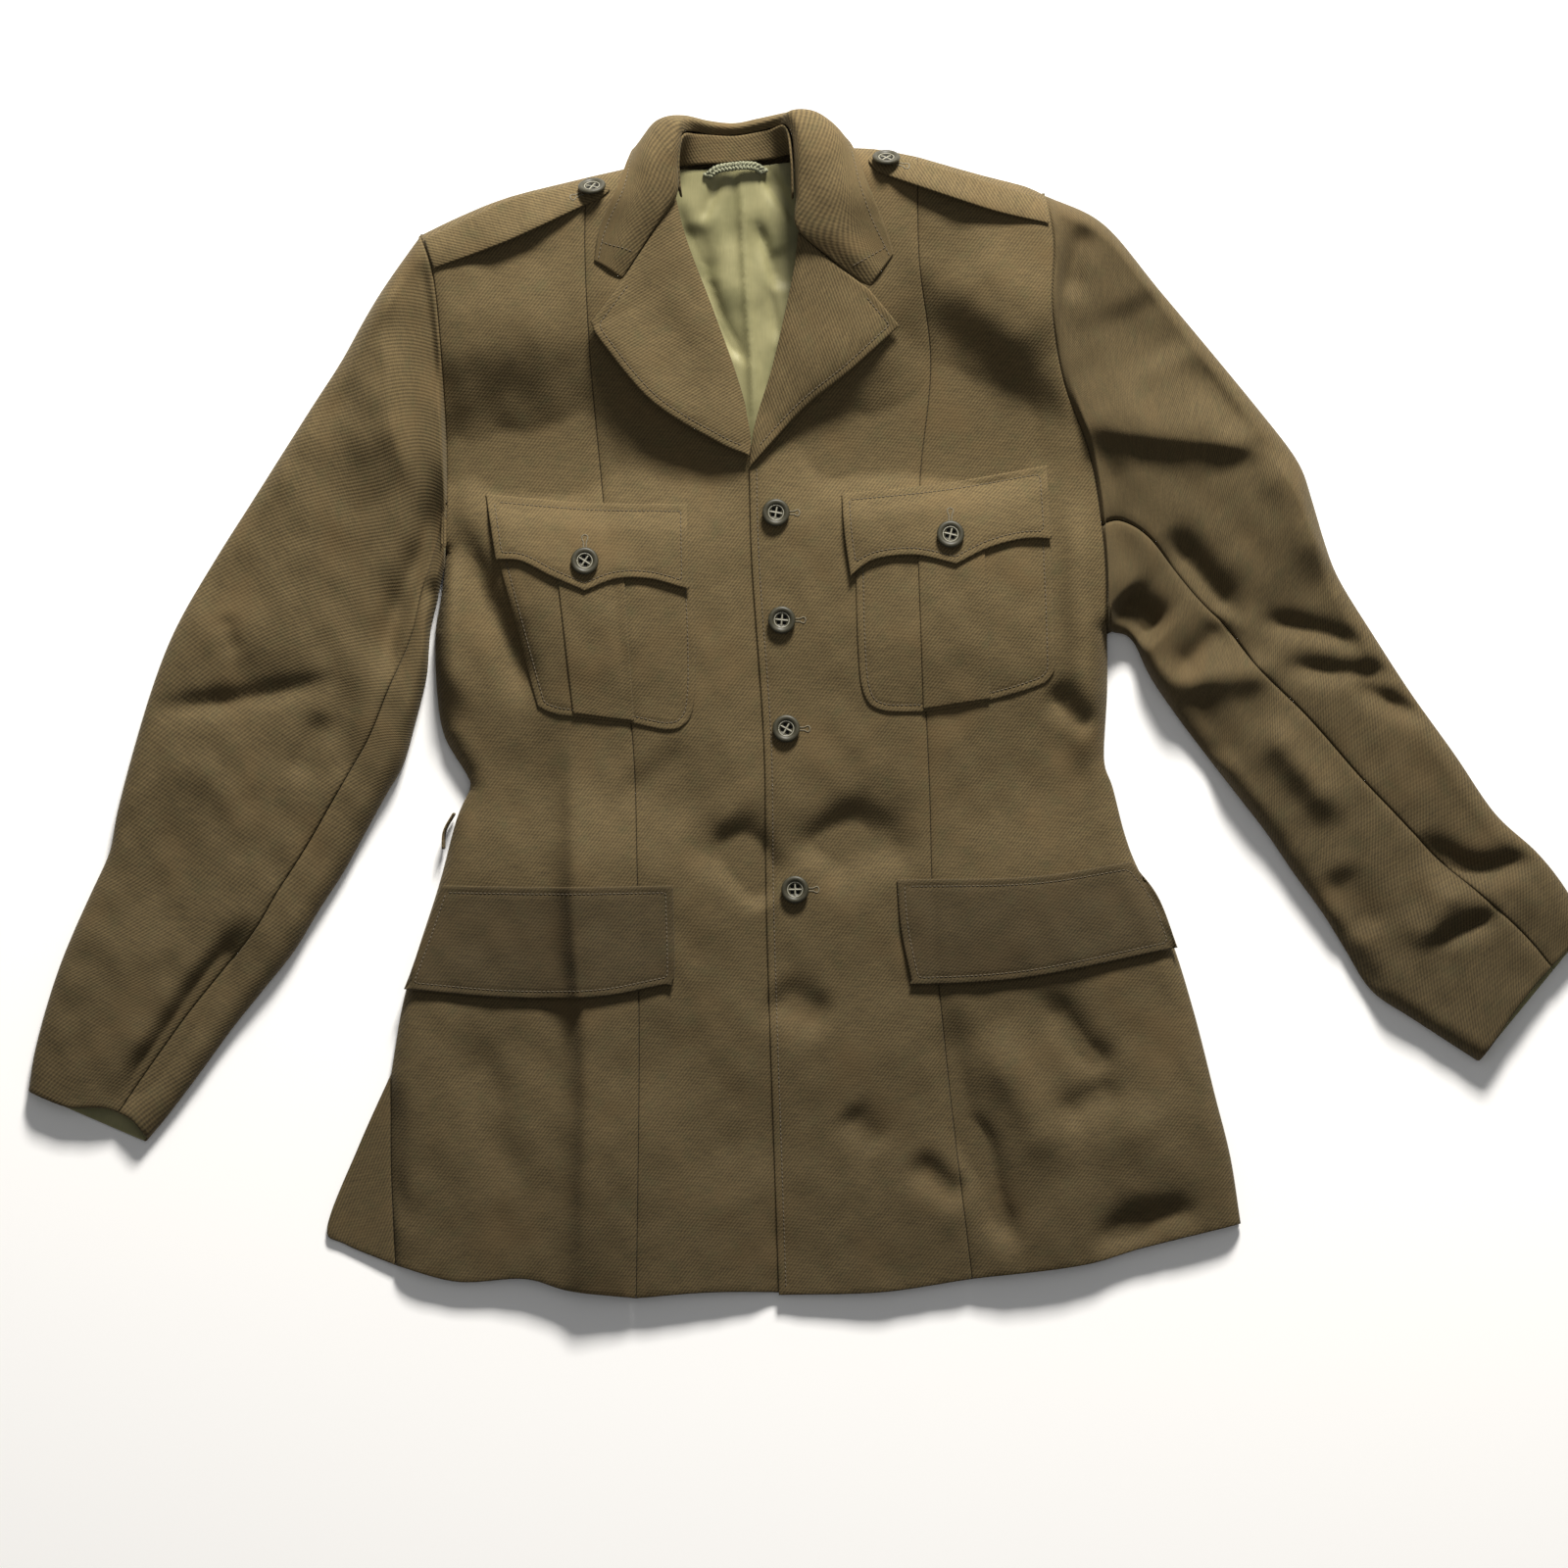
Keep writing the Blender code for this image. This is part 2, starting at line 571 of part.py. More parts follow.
def wall(name, outer, inner, material="cloth"):
    """A closed wall between two grids of points."""
    height, width = outer.shape[:2]
    vertices = [tuple(p) for grid in (outer, inner) for p in grid.reshape(-1, 3)]
    far = height * width

    def at(r, c, layer=0):
        return r * width + c + layer * far

    faces = []
    for r in range(height - 1):
        for c in range(width - 1):
            faces.append((at(r, c), at(r, c + 1), at(r + 1, c + 1), at(r + 1, c)))
            faces.append((at(r, c, 1), at(r + 1, c, 1), at(r + 1, c + 1, 1), at(r, c + 1, 1)))
        faces.append((at(r + 1, 0), at(r + 1, 0, 1), at(r, 0, 1), at(r, 0)))
        faces.append((at(r, width - 1), at(r, width - 1, 1), at(r + 1, width - 1, 1),
                      at(r + 1, width - 1)))
    for c in range(width - 1):
        faces.append((at(0, c), at(0, c, 1), at(0, c + 1, 1), at(0, c + 1)))
        faces.append((at(height - 1, c + 1), at(height - 1, c + 1, 1), at(height - 1, c, 1),
                      at(height - 1, c)))
    return add_object(name, vertices, faces, material)


def inner_side(outer, thickness):
    """The other side of a wall whose outer side is on the right of its rows."""
    normal = np.cross(np.gradient(outer, axis=0), np.gradient(outer, axis=1))
    return outer - normal / np.linalg.norm(normal, axis=2)[:, :, None] * thickness


def resampled(rows, count):
    """A table's rows, read at evenly spaced places along it."""
    numbered = [(i, *np.ravel(row)) for i, row in enumerate(rows)]
    places = np.linspace(0, len(rows) - 1, count)
    return np.array([soft_table(places, numbered, c) for c in range(1, len(numbered[0]))]).T


def on_armhole(armhole, share):
    """Points on an armhole, at shares of its length."""
    fine = curve(armhole, 3.0)
    run = np.concatenate([[0], np.cumsum(np.hypot(*np.diff(fine, axis=0).T))])
    return np.stack([np.interp(share * run[-1], run, fine[:, i]) for i in (0, 1)], 1)


def ring_turns(seam_share, width):
    """Turns of a ring's points, for the top sleeve and for the under sleeve: a turn of 0 is the
    outer folded edge, half a turn is the inner one, and a turn below 0 is on the underside."""
    seam, hind = (math.acos(1 - 2 * share) for share in (seam_share, HIND_SEAM))
    gap = SLEEVE_SEAM_GAP / width / math.sin(seam)
    over = (np.linspace(seam - gap, 0, OVER_COLUMNS[0]), np.linspace(0, gap - hind, OVER_COLUMNS[1]))
    rest = (np.linspace(seam + gap, math.pi, REST_COLUMNS[0]),
            np.linspace(-math.pi, -gap - hind, REST_COLUMNS[1]))
    return over, rest


def armhole_line(armhole, sections):
    """An armhole through the same points as the first ring of its sleeve."""
    first = sections[0]
    over, rest = ring_turns(first[5], math.dist(first[:2], first[2:4]))
    turns = np.concatenate([over[0][::-1], rest[0]])
    return on_armhole(armhole, (1 - np.cos(turns)) / 2)


def sleeve_ring(row, section, start, armhole, folds, turns):
    """The points of one ring of a sleeve."""
    outer, inner, height = section[:2], section[2:4], section[4]
    width = np.linalg.norm(inner - outer)
    bend = 1 - soft_step(row, 0, 8)
    share = (1 - np.cos(turns)) / 2
    straight = start[:2] + (start[2:4] - start[:2]) * share[:, None]
    place = outer + (inner - outer) * share[:, None]
    place = place + (on_armhole(armhole, share) - straight) * bend
    x, y = place.T
    depth = np.minimum(share, 1 - share) * width
    plump = np.maximum(height + folded(x, y, folds) - SLEEVE_WIDEST, 3)
    over = SLEEVE_WIDEST + plump * rounded(depth, SLEEVE_ROLL)
    if row == 0:
        over = front_height(x, y)
    under = SLEEVE_WIDEST * (1 - rounded(depth, SLEEVE_UNDER_ROLL))
    return np.column_stack([place, np.where(turns < 0, under, over)])


def sleeve(side, sections, armhole, folds):
    """Top sleeve and under sleeve, joined along a front seam on top and a hind seam below."""
    sections = resampled(sections, SLEEVE_ROWS)
    outward = -1 if side == "left" else 1
    over, rest = [], []
    for row, section in enumerate(sections):
        width = math.dist(section[:2], section[2:4])
        for rows, (above, below) in zip((over, rest), ring_turns(section[5], width)):
            turns = np.concatenate([above, below[1:]])
            points = sleeve_ring(row, section, sections[0], armhole, folds, turns)
            if row == 0:
                points[:, 0] += outward * np.where(turns < 0, UNDERARM_GAP, SEAM_GAP)
            rows.append(points)
    for name, rows, way in ((f"sleeve_top_{side}", over, outward),
                            (f"sleeve_under_{side}", rest, -outward)):
        outer = np.array(rows)
        inner = inner_side(outer, way * CLOTH)
        # The first ring's wall leans neither back over the armhole nor across the front seam
        lean = np.minimum((inner[0, :, 0] - outer[0, :, 0]) * outward, 0)
        inner[0, :, 0] -= lean * outward
        inner[0, 0, :2] = outer[0, 0, :2]
        wall(name, outer, inner)


def collar():
    """The fall of the collar, folded over outwards, and the stand inside it."""
    rows = []
    for row in resampled(COLLAR, 35).reshape(-1, 4, 3):
        numbered = [(i, *point) for i, point in enumerate(row)]
        places = np.linspace(0, 3, 7)
        points = np.array([soft_table(places, numbered, c) for c in (1, 2, 3)]).T
        points[:, 2] = np.maximum(points[:, 2], 0)
        rows.append(points)
    outer = np.array(rows)
    wall("collar", outer, inner_side(outer, COLLAR_CLOTH))
    stand = resampled(COLLAR_STAND, 21).reshape(-1, 2, 3)[::-1]
    outer = stand[:, :1] + (stand[:, 1:] - stand[:, :1]) * np.array([0, 0.5, 1])[None, :, None]
    wall("collar_stand", outer, inner_side(outer, STAND_CLOTH))


def button(name, x, y, surface):
    """A turned button with a raised rim and a dished middle, tilted as its cloth lies."""
    reach = BUTTON_RADIUS / 2
    around = np.linspace(0, 2 * math.pi, 13)
    near_x, near_y = x + reach * np.cos(around), y + reach * np.sin(around)
    level = surface(near_x, near_y)
    plane = np.linalg.lstsq(np.column_stack([near_x - x, near_y - y, np.ones(13)]), level, rcond=None)[0]
    base = plane[2] + max(0, (level - plane[0] * (near_x - x) - plane[1] * (near_y - y) - plane[2]).max())
    vertices = []
    for share, z in BUTTON_PROFILE[1:-1]:
        for i in range(BUTTON_SIDES):
            angle = 2 * math.pi * i / BUTTON_SIDES
            vertices.append(Vector((math.cos(angle), math.sin(angle), 0)) * share * BUTTON_RADIUS
                            + Vector((0, 0, z)))
    rings = len(BUTTON_PROFILE) - 2
    top, bottom = len(vertices), len(vertices) + 1
    vertices += [Vector((0, 0, BUTTON_PROFILE[0][1])), Vector((0, 0, BUTTON_PROFILE[-1][1]))]
    faces = []
    for i in range(BUTTON_SIDES):
        j = (i + 1) % BUTTON_SIDES
        faces.append((top, i, j))
        for a in range(0, (rings - 1) * BUTTON_SIDES, BUTTON_SIDES):
            faces.append((a + i, a + BUTTON_SIDES + i, a + BUTTON_SIDES + j, a + j))
        last = (rings - 1) * BUTTON_SIDES
        faces.append((last + i, bottom, last + j))
    tilt = Vector((-plane[0], -plane[1], 1)).to_track_quat("Z", "Y")
    seat = Vector((x, y, base + BUTTON_SEAT))
    add_object(name, [tilt @ v + seat for v in vertices], faces, "button")


def cord(name, route, radius, material):
    """A round cord along a line of points."""
    along = np.gradient(route, axis=0)
    along /= np.linalg.norm(along, axis=1)[:, None]
    level = np.cross(along, (0, 0, 1))
    level /= np.linalg.norm(level, axis=1)[:, None]
    upright = np.cross(level, along)
    vertices, faces = [], []
    for place, across, up in zip(route, level, upright):
        for i in range(CORD_SIDES):
            angle = 2 * math.pi * i / CORD_SIDES
            vertices.append(place + (across * math.cos(angle) + up * math.sin(angle)) * radius)
    for row in range(len(route) - 1):
        for i in range(CORD_SIDES):
            j = (i + 1) % CORD_SIDES
            a, b = row * CORD_SIDES, (row + 1) * CORD_SIDES
            faces.append((a + i, a + j, b + j, b + i))
    last = (len(route) - 1) * CORD_SIDES
    faces.append(tuple(range(CORD_SIDES))[::-1])
    faces.append(tuple(last + i for i in range(CORD_SIDES)))
    return add_object(name, vertices, faces, material)


def belt_loop():
    """A narrow carrier that stands on edge at the waist."""
    thick, tall = BELT_LOOP_SIZE
    route = curve(BELT_LOOP, 8.0)
    outer = np.array([[(x, y, z), (x, y, z + tall)] for x, y, z in route])
    wall("belt_loop_left", outer, outer + (thick, 0, 0))


# The pieces

# How far a piece stands off what it lies on, at a distance from the edge that holds it

def chest_hang(reach):
    """A chest flap is sewn to the front and passes over its pocket and the pleat."""
    return 2 * (POCKET_CLOTH + PLY_GAP) * soft_step(reach, 2, 20) + CHEST_FLAP_HANG * soft_step(reach, 20, 60)


def hip_hang(reach):
    return HIP_FLAP_HANG * soft_step(reach, 2, 60)


def strap_arch(reach):
    return STRAP_ARCH * np.sin(math.pi * np.clip(reach / STRAP_LENGTH, 0, 1)) ** 2


def lapel_turn(reach):
    """A lapel rolls over at its fold, and its free edge stands off a little."""
    return LAPEL_ROLL * np.exp(-((reach - 16) / 14) ** 2) + LAPEL_EDGE * soft_step(reach, 30, 75)


def from_line(points, profile):
    line = curve(points)
    return lambda x, y: profile(distance(x, y, line))


def build():
    clear_scene()
    armhole_left = armhole_line(ARMHOLE_LEFT, LEFT_SLEEVE)
    armhole_right = armhole_line(ARMHOLE_RIGHT, RIGHT_SLEEVE)
    front_left = outline([PRINCESS_LEFT[::-1], SHOULDER_LEFT_INNER, NECK_LEFT, ROLL_LEFT,
                          UNDERLAP_LEFT, HEM_LEFT_CENTRE[::-1]])
    side_front_left = outline([SIDE_SEAM_LEFT[::-1], SIDE_LEFT[::-1], armhole_left[::-1],
                               SHOULDER_LEFT_OUTER, PRINCESS_LEFT, HEM_LEFT_SIDE[::-1]])
    front_right = outline([PRINCESS_RIGHT, HEM_RIGHT_CENTRE[::-1], FRONT_EDGE_RIGHT[::-1],
                           ROLL_RIGHT[::-1], NECK_RIGHT[::-1], SHOULDER_RIGHT_INNER[::-1]])
    side_front_right = outline([SHOULDER_RIGHT_OUTER, PRINCESS_RIGHT, HEM_RIGHT_SIDE,
                                SIDE_RIGHT[::-1], armhole_right[::-1]])
    side_back_left = outline([FLARE_LEFT, SIDE_SEAM_LEFT[::-1]])
    panels = [front_left, side_front_left, front_right, side_front_right, side_back_left]
    sewn_on = {name: outline(edges) for name, edges in SEWN_ON.items()}
    lines = roll_lines() + [crest(fold) for fold in BODY_FOLDS]
    lines += [np.array([(x - 4, y), (x + 4, y)]) for _, x, y, _ in BUTTONS]
    sheet = cutting_sheet(panels + list(sewn_on.values()), lines, SHEET_STEP)

    def factor(x, y):
        return wall_factor(front_height, x, y)

    def under_wall(surface):
        return lambda x, y: np.maximum(surface(x, y) - CLOTH * factor(x, y), back_top(x, y) + PLY_GAP)

    def tucked(x, y):
        """The left front passes below the right one, so it sinks where they overlap."""
        reach = distance(x, y, curve(FRONT_EDGE_RIGHT))
        reach = np.where(inside(x, y, front_right), reach, -reach)
        drop = (CLOTH + PLY_GAP) * factor(x, y) * soft_step(reach, -24, 0)
        return front_height(x, y) - np.where(y < 190, drop, 0)

    cut_piece("front_left", sheet, front_left, tucked, under_wall(tucked))
    cut_piece("side_front_left", sheet, side_front_left, front_height, under_wall(front_height))
    cut_piece("front_right", sheet, front_right, front_height, under_wall(front_height))
    cut_piece("side_front_right", sheet, side_front_right, front_height, under_wall(front_height))

    def flare(x, y):
        return 3.4 + 1.2 * (1 - soft_step(distance(x, y, curve(SIDE_SEAM_LEFT)), 0, 30))

    cut_piece("side_back_left", sheet, side_back_left, flare, lambda x, y: back_top(x, y) + PLY_GAP)

    def lay(name, carrier, thickness, lift=None):
        """Lays a piece on another, or on the front, and returns the height of its top."""
        shape = sewn_on[name]

        def bottom(x, y):
            raised = lift(x, y) if lift else 0
            return carrier(x, y) + (PLY_GAP + raised) * factor(x, y)

        def top(x, y):
            return bottom(x, y) + thickness * factor(x, y)

        cut_piece(name, sheet, shape, top, bottom)
        return top

    tops = {"front_right": front_height}
    for side, roll in (("left", ROLL_LEFT), ("right", ROLL_RIGHT)):
        pocket = lay(f"chest_pocket_{side}", front_height, POCKET_CLOTH)
        lay(f"pocket_pleat_{side}", pocket, POCKET_CLOTH)
        for name, hang in ((f"chest_flap_{side}", chest_hang), (f"hip_flap_{side}", hip_hang)):
            tops[name] = lay(name, front_height, FLAP_CLOTH, from_line(SEWN_ON[name][-1], hang))
        strap = f"strap_{side}"
        tops[strap] = lay(strap, front_height, FLAP_CLOTH, from_line(SEWN_ON[strap][0], strap_arch))
        lay(f"lapel_{side}", front_height, FLAP_CLOTH, from_line(roll, lapel_turn))

    back = outline([SHOULDER_LEFT_INNER[::-1], SHOULDER_LEFT_OUTER[::-1], armhole_left, SIDE_LEFT,
                    FLARE_LEFT, HEM_LEFT_SIDE, HEM_BACK, HEM_RIGHT_SIDE, SIDE_RIGHT[::-1],
                    armhole_right[::-1], SHOULDER_RIGHT_OUTER, SHOULDER_RIGHT_INNER, NECK_BACK],
                   BACK_EDGE_STEP)
    bends = [curve([(-200, y), (110, y)], BACK_EDGE_STEP) for y in (312, 338)]
    cut_piece("back", cutting_sheet([back], bends, BACK_STEP), back, back_top, back_rise,
              gap=2 * BACK_INSET)
    lining = outline(LINING_BACK)
    cut_piece("lining_back", cutting_sheet([lining], [], EDGE_STEP), lining, lining_height,
              lambda x, y: lining_height(x, y) - LINING, "lining")

    sleeve("left", LEFT_SLEEVE, ARMHOLE_LEFT, LEFT_SLEEVE_FOLDS)
    sleeve("right", RIGHT_SLEEVE, ARMHOLE_RIGHT, RIGHT_SLEEVE_FOLDS)
    collar()
    for name, x, y, carrier in BUTTONS:
        button(name, x, y, tops[carrier])
    loop = curve(HANGER_LOOP, 5.0)
    loop[:, 2] += lining_height(loop[:, 0], loop[:, 1]) + HANGER_LOOP_RADIUS + PLY_GAP
    cord("hanger_loop", loop, HANGER_LOOP_RADIUS, "braid")
    belt_loop()


build()
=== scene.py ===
import math
import bpy
import numpy as np
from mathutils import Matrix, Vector
from mathutils.geometry import delaunay_2d_cdt


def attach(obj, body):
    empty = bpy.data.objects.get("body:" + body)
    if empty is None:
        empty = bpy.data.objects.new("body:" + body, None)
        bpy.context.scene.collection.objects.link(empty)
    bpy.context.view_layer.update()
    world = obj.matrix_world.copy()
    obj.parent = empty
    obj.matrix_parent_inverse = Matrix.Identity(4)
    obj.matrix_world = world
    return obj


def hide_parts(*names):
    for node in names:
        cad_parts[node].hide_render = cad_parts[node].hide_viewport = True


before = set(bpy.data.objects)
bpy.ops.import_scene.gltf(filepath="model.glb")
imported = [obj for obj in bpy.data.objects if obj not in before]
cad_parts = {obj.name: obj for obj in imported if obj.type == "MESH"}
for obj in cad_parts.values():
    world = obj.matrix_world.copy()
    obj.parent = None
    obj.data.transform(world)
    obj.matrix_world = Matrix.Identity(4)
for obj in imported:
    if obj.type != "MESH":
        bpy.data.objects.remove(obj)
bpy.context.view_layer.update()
print("frame loaded")

mm = 0.001
photoScale = 0.66               # millimetres of cloth for one pixel of the photograph
photoMiddle = (823.5, 721.0)    # the pixel over the origin

meshSize = {"panel": 3.4, "small": 2.6, "lining": 2.2, "back": 14.0}
cloth = {
    "shell": 2.0, "flap": 1.8, "pocket": 1.1, "lining": 0.8, "back": 1.6,
    "seamGap": 0.14, "backGap": 2.4, "plyGap": 0.4, "aboveFloor": 0.5,
    "sideEdge": 3.0, "sideRoll": 15.0, "shoulderRoll": 24.0,
    "seamDip": 0.9, "seamDipWidth": 4.5,
    "stitchInset": 5.0, "stitchGroove": 0.4, "grooveWidth": 0.8,
}


# Curves, distances and heights, in millimetres

def onCloth(pixels):
    return [((x - photoMiddle[0]) * photoScale, (photoMiddle[1] - y) * photoScale) for x, y in pixels]


def curve(points, step=3.0):
    # a smooth line through the points
    knots = np.array(points, float)
    ends = np.vstack([2 * knots[0] - knots[1], knots, 2 * knots[-1] - knots[-2]])
    made = []
    for a, b, c, d in zip(ends, ends[1:], ends[2:], ends[3:]):
        count = max(1, round(np.linalg.norm(c - b) / step))
        for t in np.arange(count) / count:
            made.append(0.5 * (2 * b + (c - a) * t + (2 * a - 5 * b + 4 * c - d) * t**2
                               + (3 * b - a - 3 * c + d) * t**3))
    made.append(knots[-1])
    return np.array(made)


def linked(edges):
    # each edge of an outline also gets the first point of the next one
    return [edge + after[:1] for edge, after in zip(edges, edges[1:] + edges[:1])]


def closedLine(edges, step=3.0):
    drawn = [edge if isinstance(edge, np.ndarray) else curve(edge, step) for edge in edges]
    rim = np.vstack([line[:-1] for line in drawn])
    x, y = rim.T
    area = (x * np.roll(y, -1) - np.roll(x, -1) * y).sum()
    return rim if area > 0 else rim[::-1]


def along(x, y, line):
    # signed distance from a line, and how far along it the nearest place is
    starts, steps = line[:-1], np.diff(line, axis=0)
    lengths = np.hypot(*steps.T)
    run = np.concatenate([[0], np.cumsum(lengths)])
    best = np.full(np.shape(x), 1e9)
    side, share = np.ones(np.shape(x)), np.zeros(np.shape(x))
    for (ax, ay), (dx, dy), length, before in zip(starts, steps, lengths, run):
        t = np.clip(((x - ax) * dx + (y - ay) * dy) / length**2, 0, 1)
        gap = np.hypot(x - ax - t * dx, y - ay - t * dy)
        nearer = gap < best
        best = np.where(nearer, gap, best)
        side = np.where(nearer, np.sign(dx * (y - ay) - dy * (x - ax)), side)
        share = np.where(nearer, (before + t * length) / run[-1], share)
    return best * side, share


def distance(x, y, line):
    return np.abs(along(x, y, line)[0])


def inside(x, y, rim):
    crossings = np.zeros(np.shape(x), int)
    for (ax, ay), (bx, by) in zip(rim, np.roll(rim, -1, axis=0)):
        if ay != by:
            spans = (ay > y) != (by > y)
            crossings += spans & (x < (bx - ax) * (y - ay) / (by - ay) + ax)
    return crossings % 2 == 1


def runAlong(line):
    # how far along the line each of its points is
    return np.concatenate([[0], np.cumsum(np.linalg.norm(np.diff(line, axis=0), axis=1))])


def softStep(value, low, high):
    t = np.clip((value - low) / (high - low), 0, 1)
    return t * t * (3 - 2 * t)


def softTable(value, rows, column):
    rows = sorted(rows)
    places = np.array([row[0] for row in rows], float)
    heights = np.array([row[column] for row in rows], float)
    slopes = np.gradient(heights, places)
    value = np.clip(value, places[0], places[-1])
    i = np.clip(np.searchsorted(places, value, side="right") - 1, 0, len(places) - 2)
    span = places[i + 1] - places[i]
    t = (value - places[i]) / span
    return ((2 * t**3 - 3 * t**2 + 1) * heights[i] + (t**3 - 2 * t**2 + t) * span * slopes[i]
            + (3 * t**2 - 2 * t**3) * heights[i + 1] + (t**3 - t**2) * span * slopes[i + 1])


def rounded(depth, roll):
    share = np.clip(depth / roll, 0, 1)
    return np.sqrt(np.clip(1 - (1 - share) ** 2, 0, 1))


foldDepth = 2.0     # all the folds' heights are times this


def readFolds(rows):
    return [(height * foldDepth, near, far, crisp, curve(onCloth(pixels), 8.0))
            for height, near, far, crisp, pixels in rows]


def relief(x, y, folds):
    # each fold fades out at both ends, and its crest is slightly rounded
    total = np.zeros(np.shape(x))
    for height, near, far, crisp, line in folds:
        reach = 4 * max(near, far)
        low, high = line.min(axis=0) - reach, line.max(axis=0) + reach
        close = (x > low[0]) & (x < high[0]) & (y > low[1]) & (y < high[1])
        if close.any():
            across, share = along(x[close], y[close], line)
            width = np.where(across < 0, near, far)
            spread = np.sqrt((across / width) ** 2 + 0.04) - 0.2
            fade = softStep(share, 0, 0.3) * (1 - softStep(share, 0.7, 1))
            total[close] += height * fade * np.exp(-np.abs(spread) ** crisp)
    return total


chance = np.random.RandomState(23)


def makeWaves(count, shortest, longest, height):
    made = []
    for i in range(count):
        length, heading, start = chance.uniform(shortest, longest), chance.uniform(0, 6.28), chance.uniform(0, 6.28)
        made.append((height * (length / longest), 6.28 * math.cos(heading) / length,
                     6.28 * math.sin(heading) / length, start))
    return made


clothWaves = makeWaves(9, 60, 170, 0.55)
fineWaves = makeWaves(12, 15, 34, 0.10)
liningWaves = makeWaves(10, 14, 46, 0.32)


def ripple(x, y, waves):
    return sum(height * np.sin(a * x + b * y + start) for height, a, b, start in waves)


# The body's outlines and its plump form

seams = {
    "armholeLeft": [(-260, 317), (-251, 292), (-245, 234), (-242, 160), (-243, 104)],
    "armholeRight": [(160, 344), (165, 310), (164, 266), (172, 218), (190, 168), (199, 110), (202, 50)],
    "sideLeft": [(-243, 104), (-246, 75), (-250, 50), (-249, 10), (-244, -20), (-229, -46), (-227, -55),
                 (-236, -76), (-248, -121), (-270, -191), (-280, -247)],
    "backSideLeft": [(-280, -247), (-280, -310), (-277, -376)],
    "sideRight": [(202, 50), (202, 10), (200, -35), (206, -55), (218, -98), (243, -151),
                  (260, -204), (275, -263), (285, -303), (292, -348)],
    "shoulderLeftOuter": [(-260, 317), (-233, 330), (-200, 343), (-148, 356)],
    "shoulderLeftInner": [(-148, 356), (-121, 362), (-101, 367)],
    "shoulderRightOuter": [(160, 344), (147, 350), (116, 358), (74, 370)],
    "shoulderRightInner": [(74, 370), (45, 375), (10, 376)],
    "neckLeft": [(-101, 367), (-94, 355), (-88, 341)],
    "neckRight": [(10, 376), (1, 358), (-6, 318)],
    "rollLeft": [(-88, 341), (-80, 311), (-61, 261), (-44, 212), (-37, 173)],
    "rollRight": [(-6, 318), (-10, 288), (-23, 230), (-35, 190), (-39, 160)],
    "princessLeft": [(-148, 356), (-149, 300), (-144, 212), (-132, 93), (-118, -13), (-114, -118),
                     (-113, -250), (-115, -398)],
    "princessRight": [(74, 370), (75, 300), (83, 230), (76, 152), (76, 80), (82, -52), (85, -145),
                      (95, -250), (111, -385)],
    "frontEdge": [(-39, 160), (-37, 93), (-29, -26), (-27, -151), (-19, -396)],
    "underlap": [(-37, 173), (-12, 150), (-3, 100), (4, -26), (8, -151), (14, -395)],
    "hemSideLeft": [(-277, -376), (-235, -387), (-190, -385), (-160, -393), (-115, -398)],
    "hemFrontLeft": [(-115, -398), (-60, -394), (14, -395)],
    "hemFrontRight": [(-19, -396), (50, -394), (111, -385)],
    "hemSideRight": [(111, -385), (184, -376), (227, -364), (292, -348)],
    "hemBack": [(-115, -398), (-60, -394), (50, -394), (111, -385)],
    "neckBack": [(10, 376), (0, 370), (-49, 362), (-90, 362), (-101, 367)],
    "flare": [(-280, -247), (-302, -296), (-323, -350), (-311, -362), (-277, -376)],
}
plump = {
    "levels": [  # y, then the height at the centre, half way out and at the side
        (395, 26, 30, 33), (320, 23, 31, 34), (250, 21, 29, 32), (205, 19, 25, 28), (165, 17, 20, 22),
        (90, 18, 27, 22), (40, 18, 28, 21), (-10, 17, 22, 17), (-60, 16, 18, 15), (-110, 17, 20, 17),
        (-190, 14, 16, 14), (-260, 13, 16, 14), (-330, 12, 15, 13), (-400, 8, 11, 9),
    ],
    "widths": [  # y, centre line, half width
        (395, -45, 170), (160, -40, 215), (0, -25, 228), (-55, -12, 215), (-200, -8, 268), (-400, -4, 300),
    ],
}
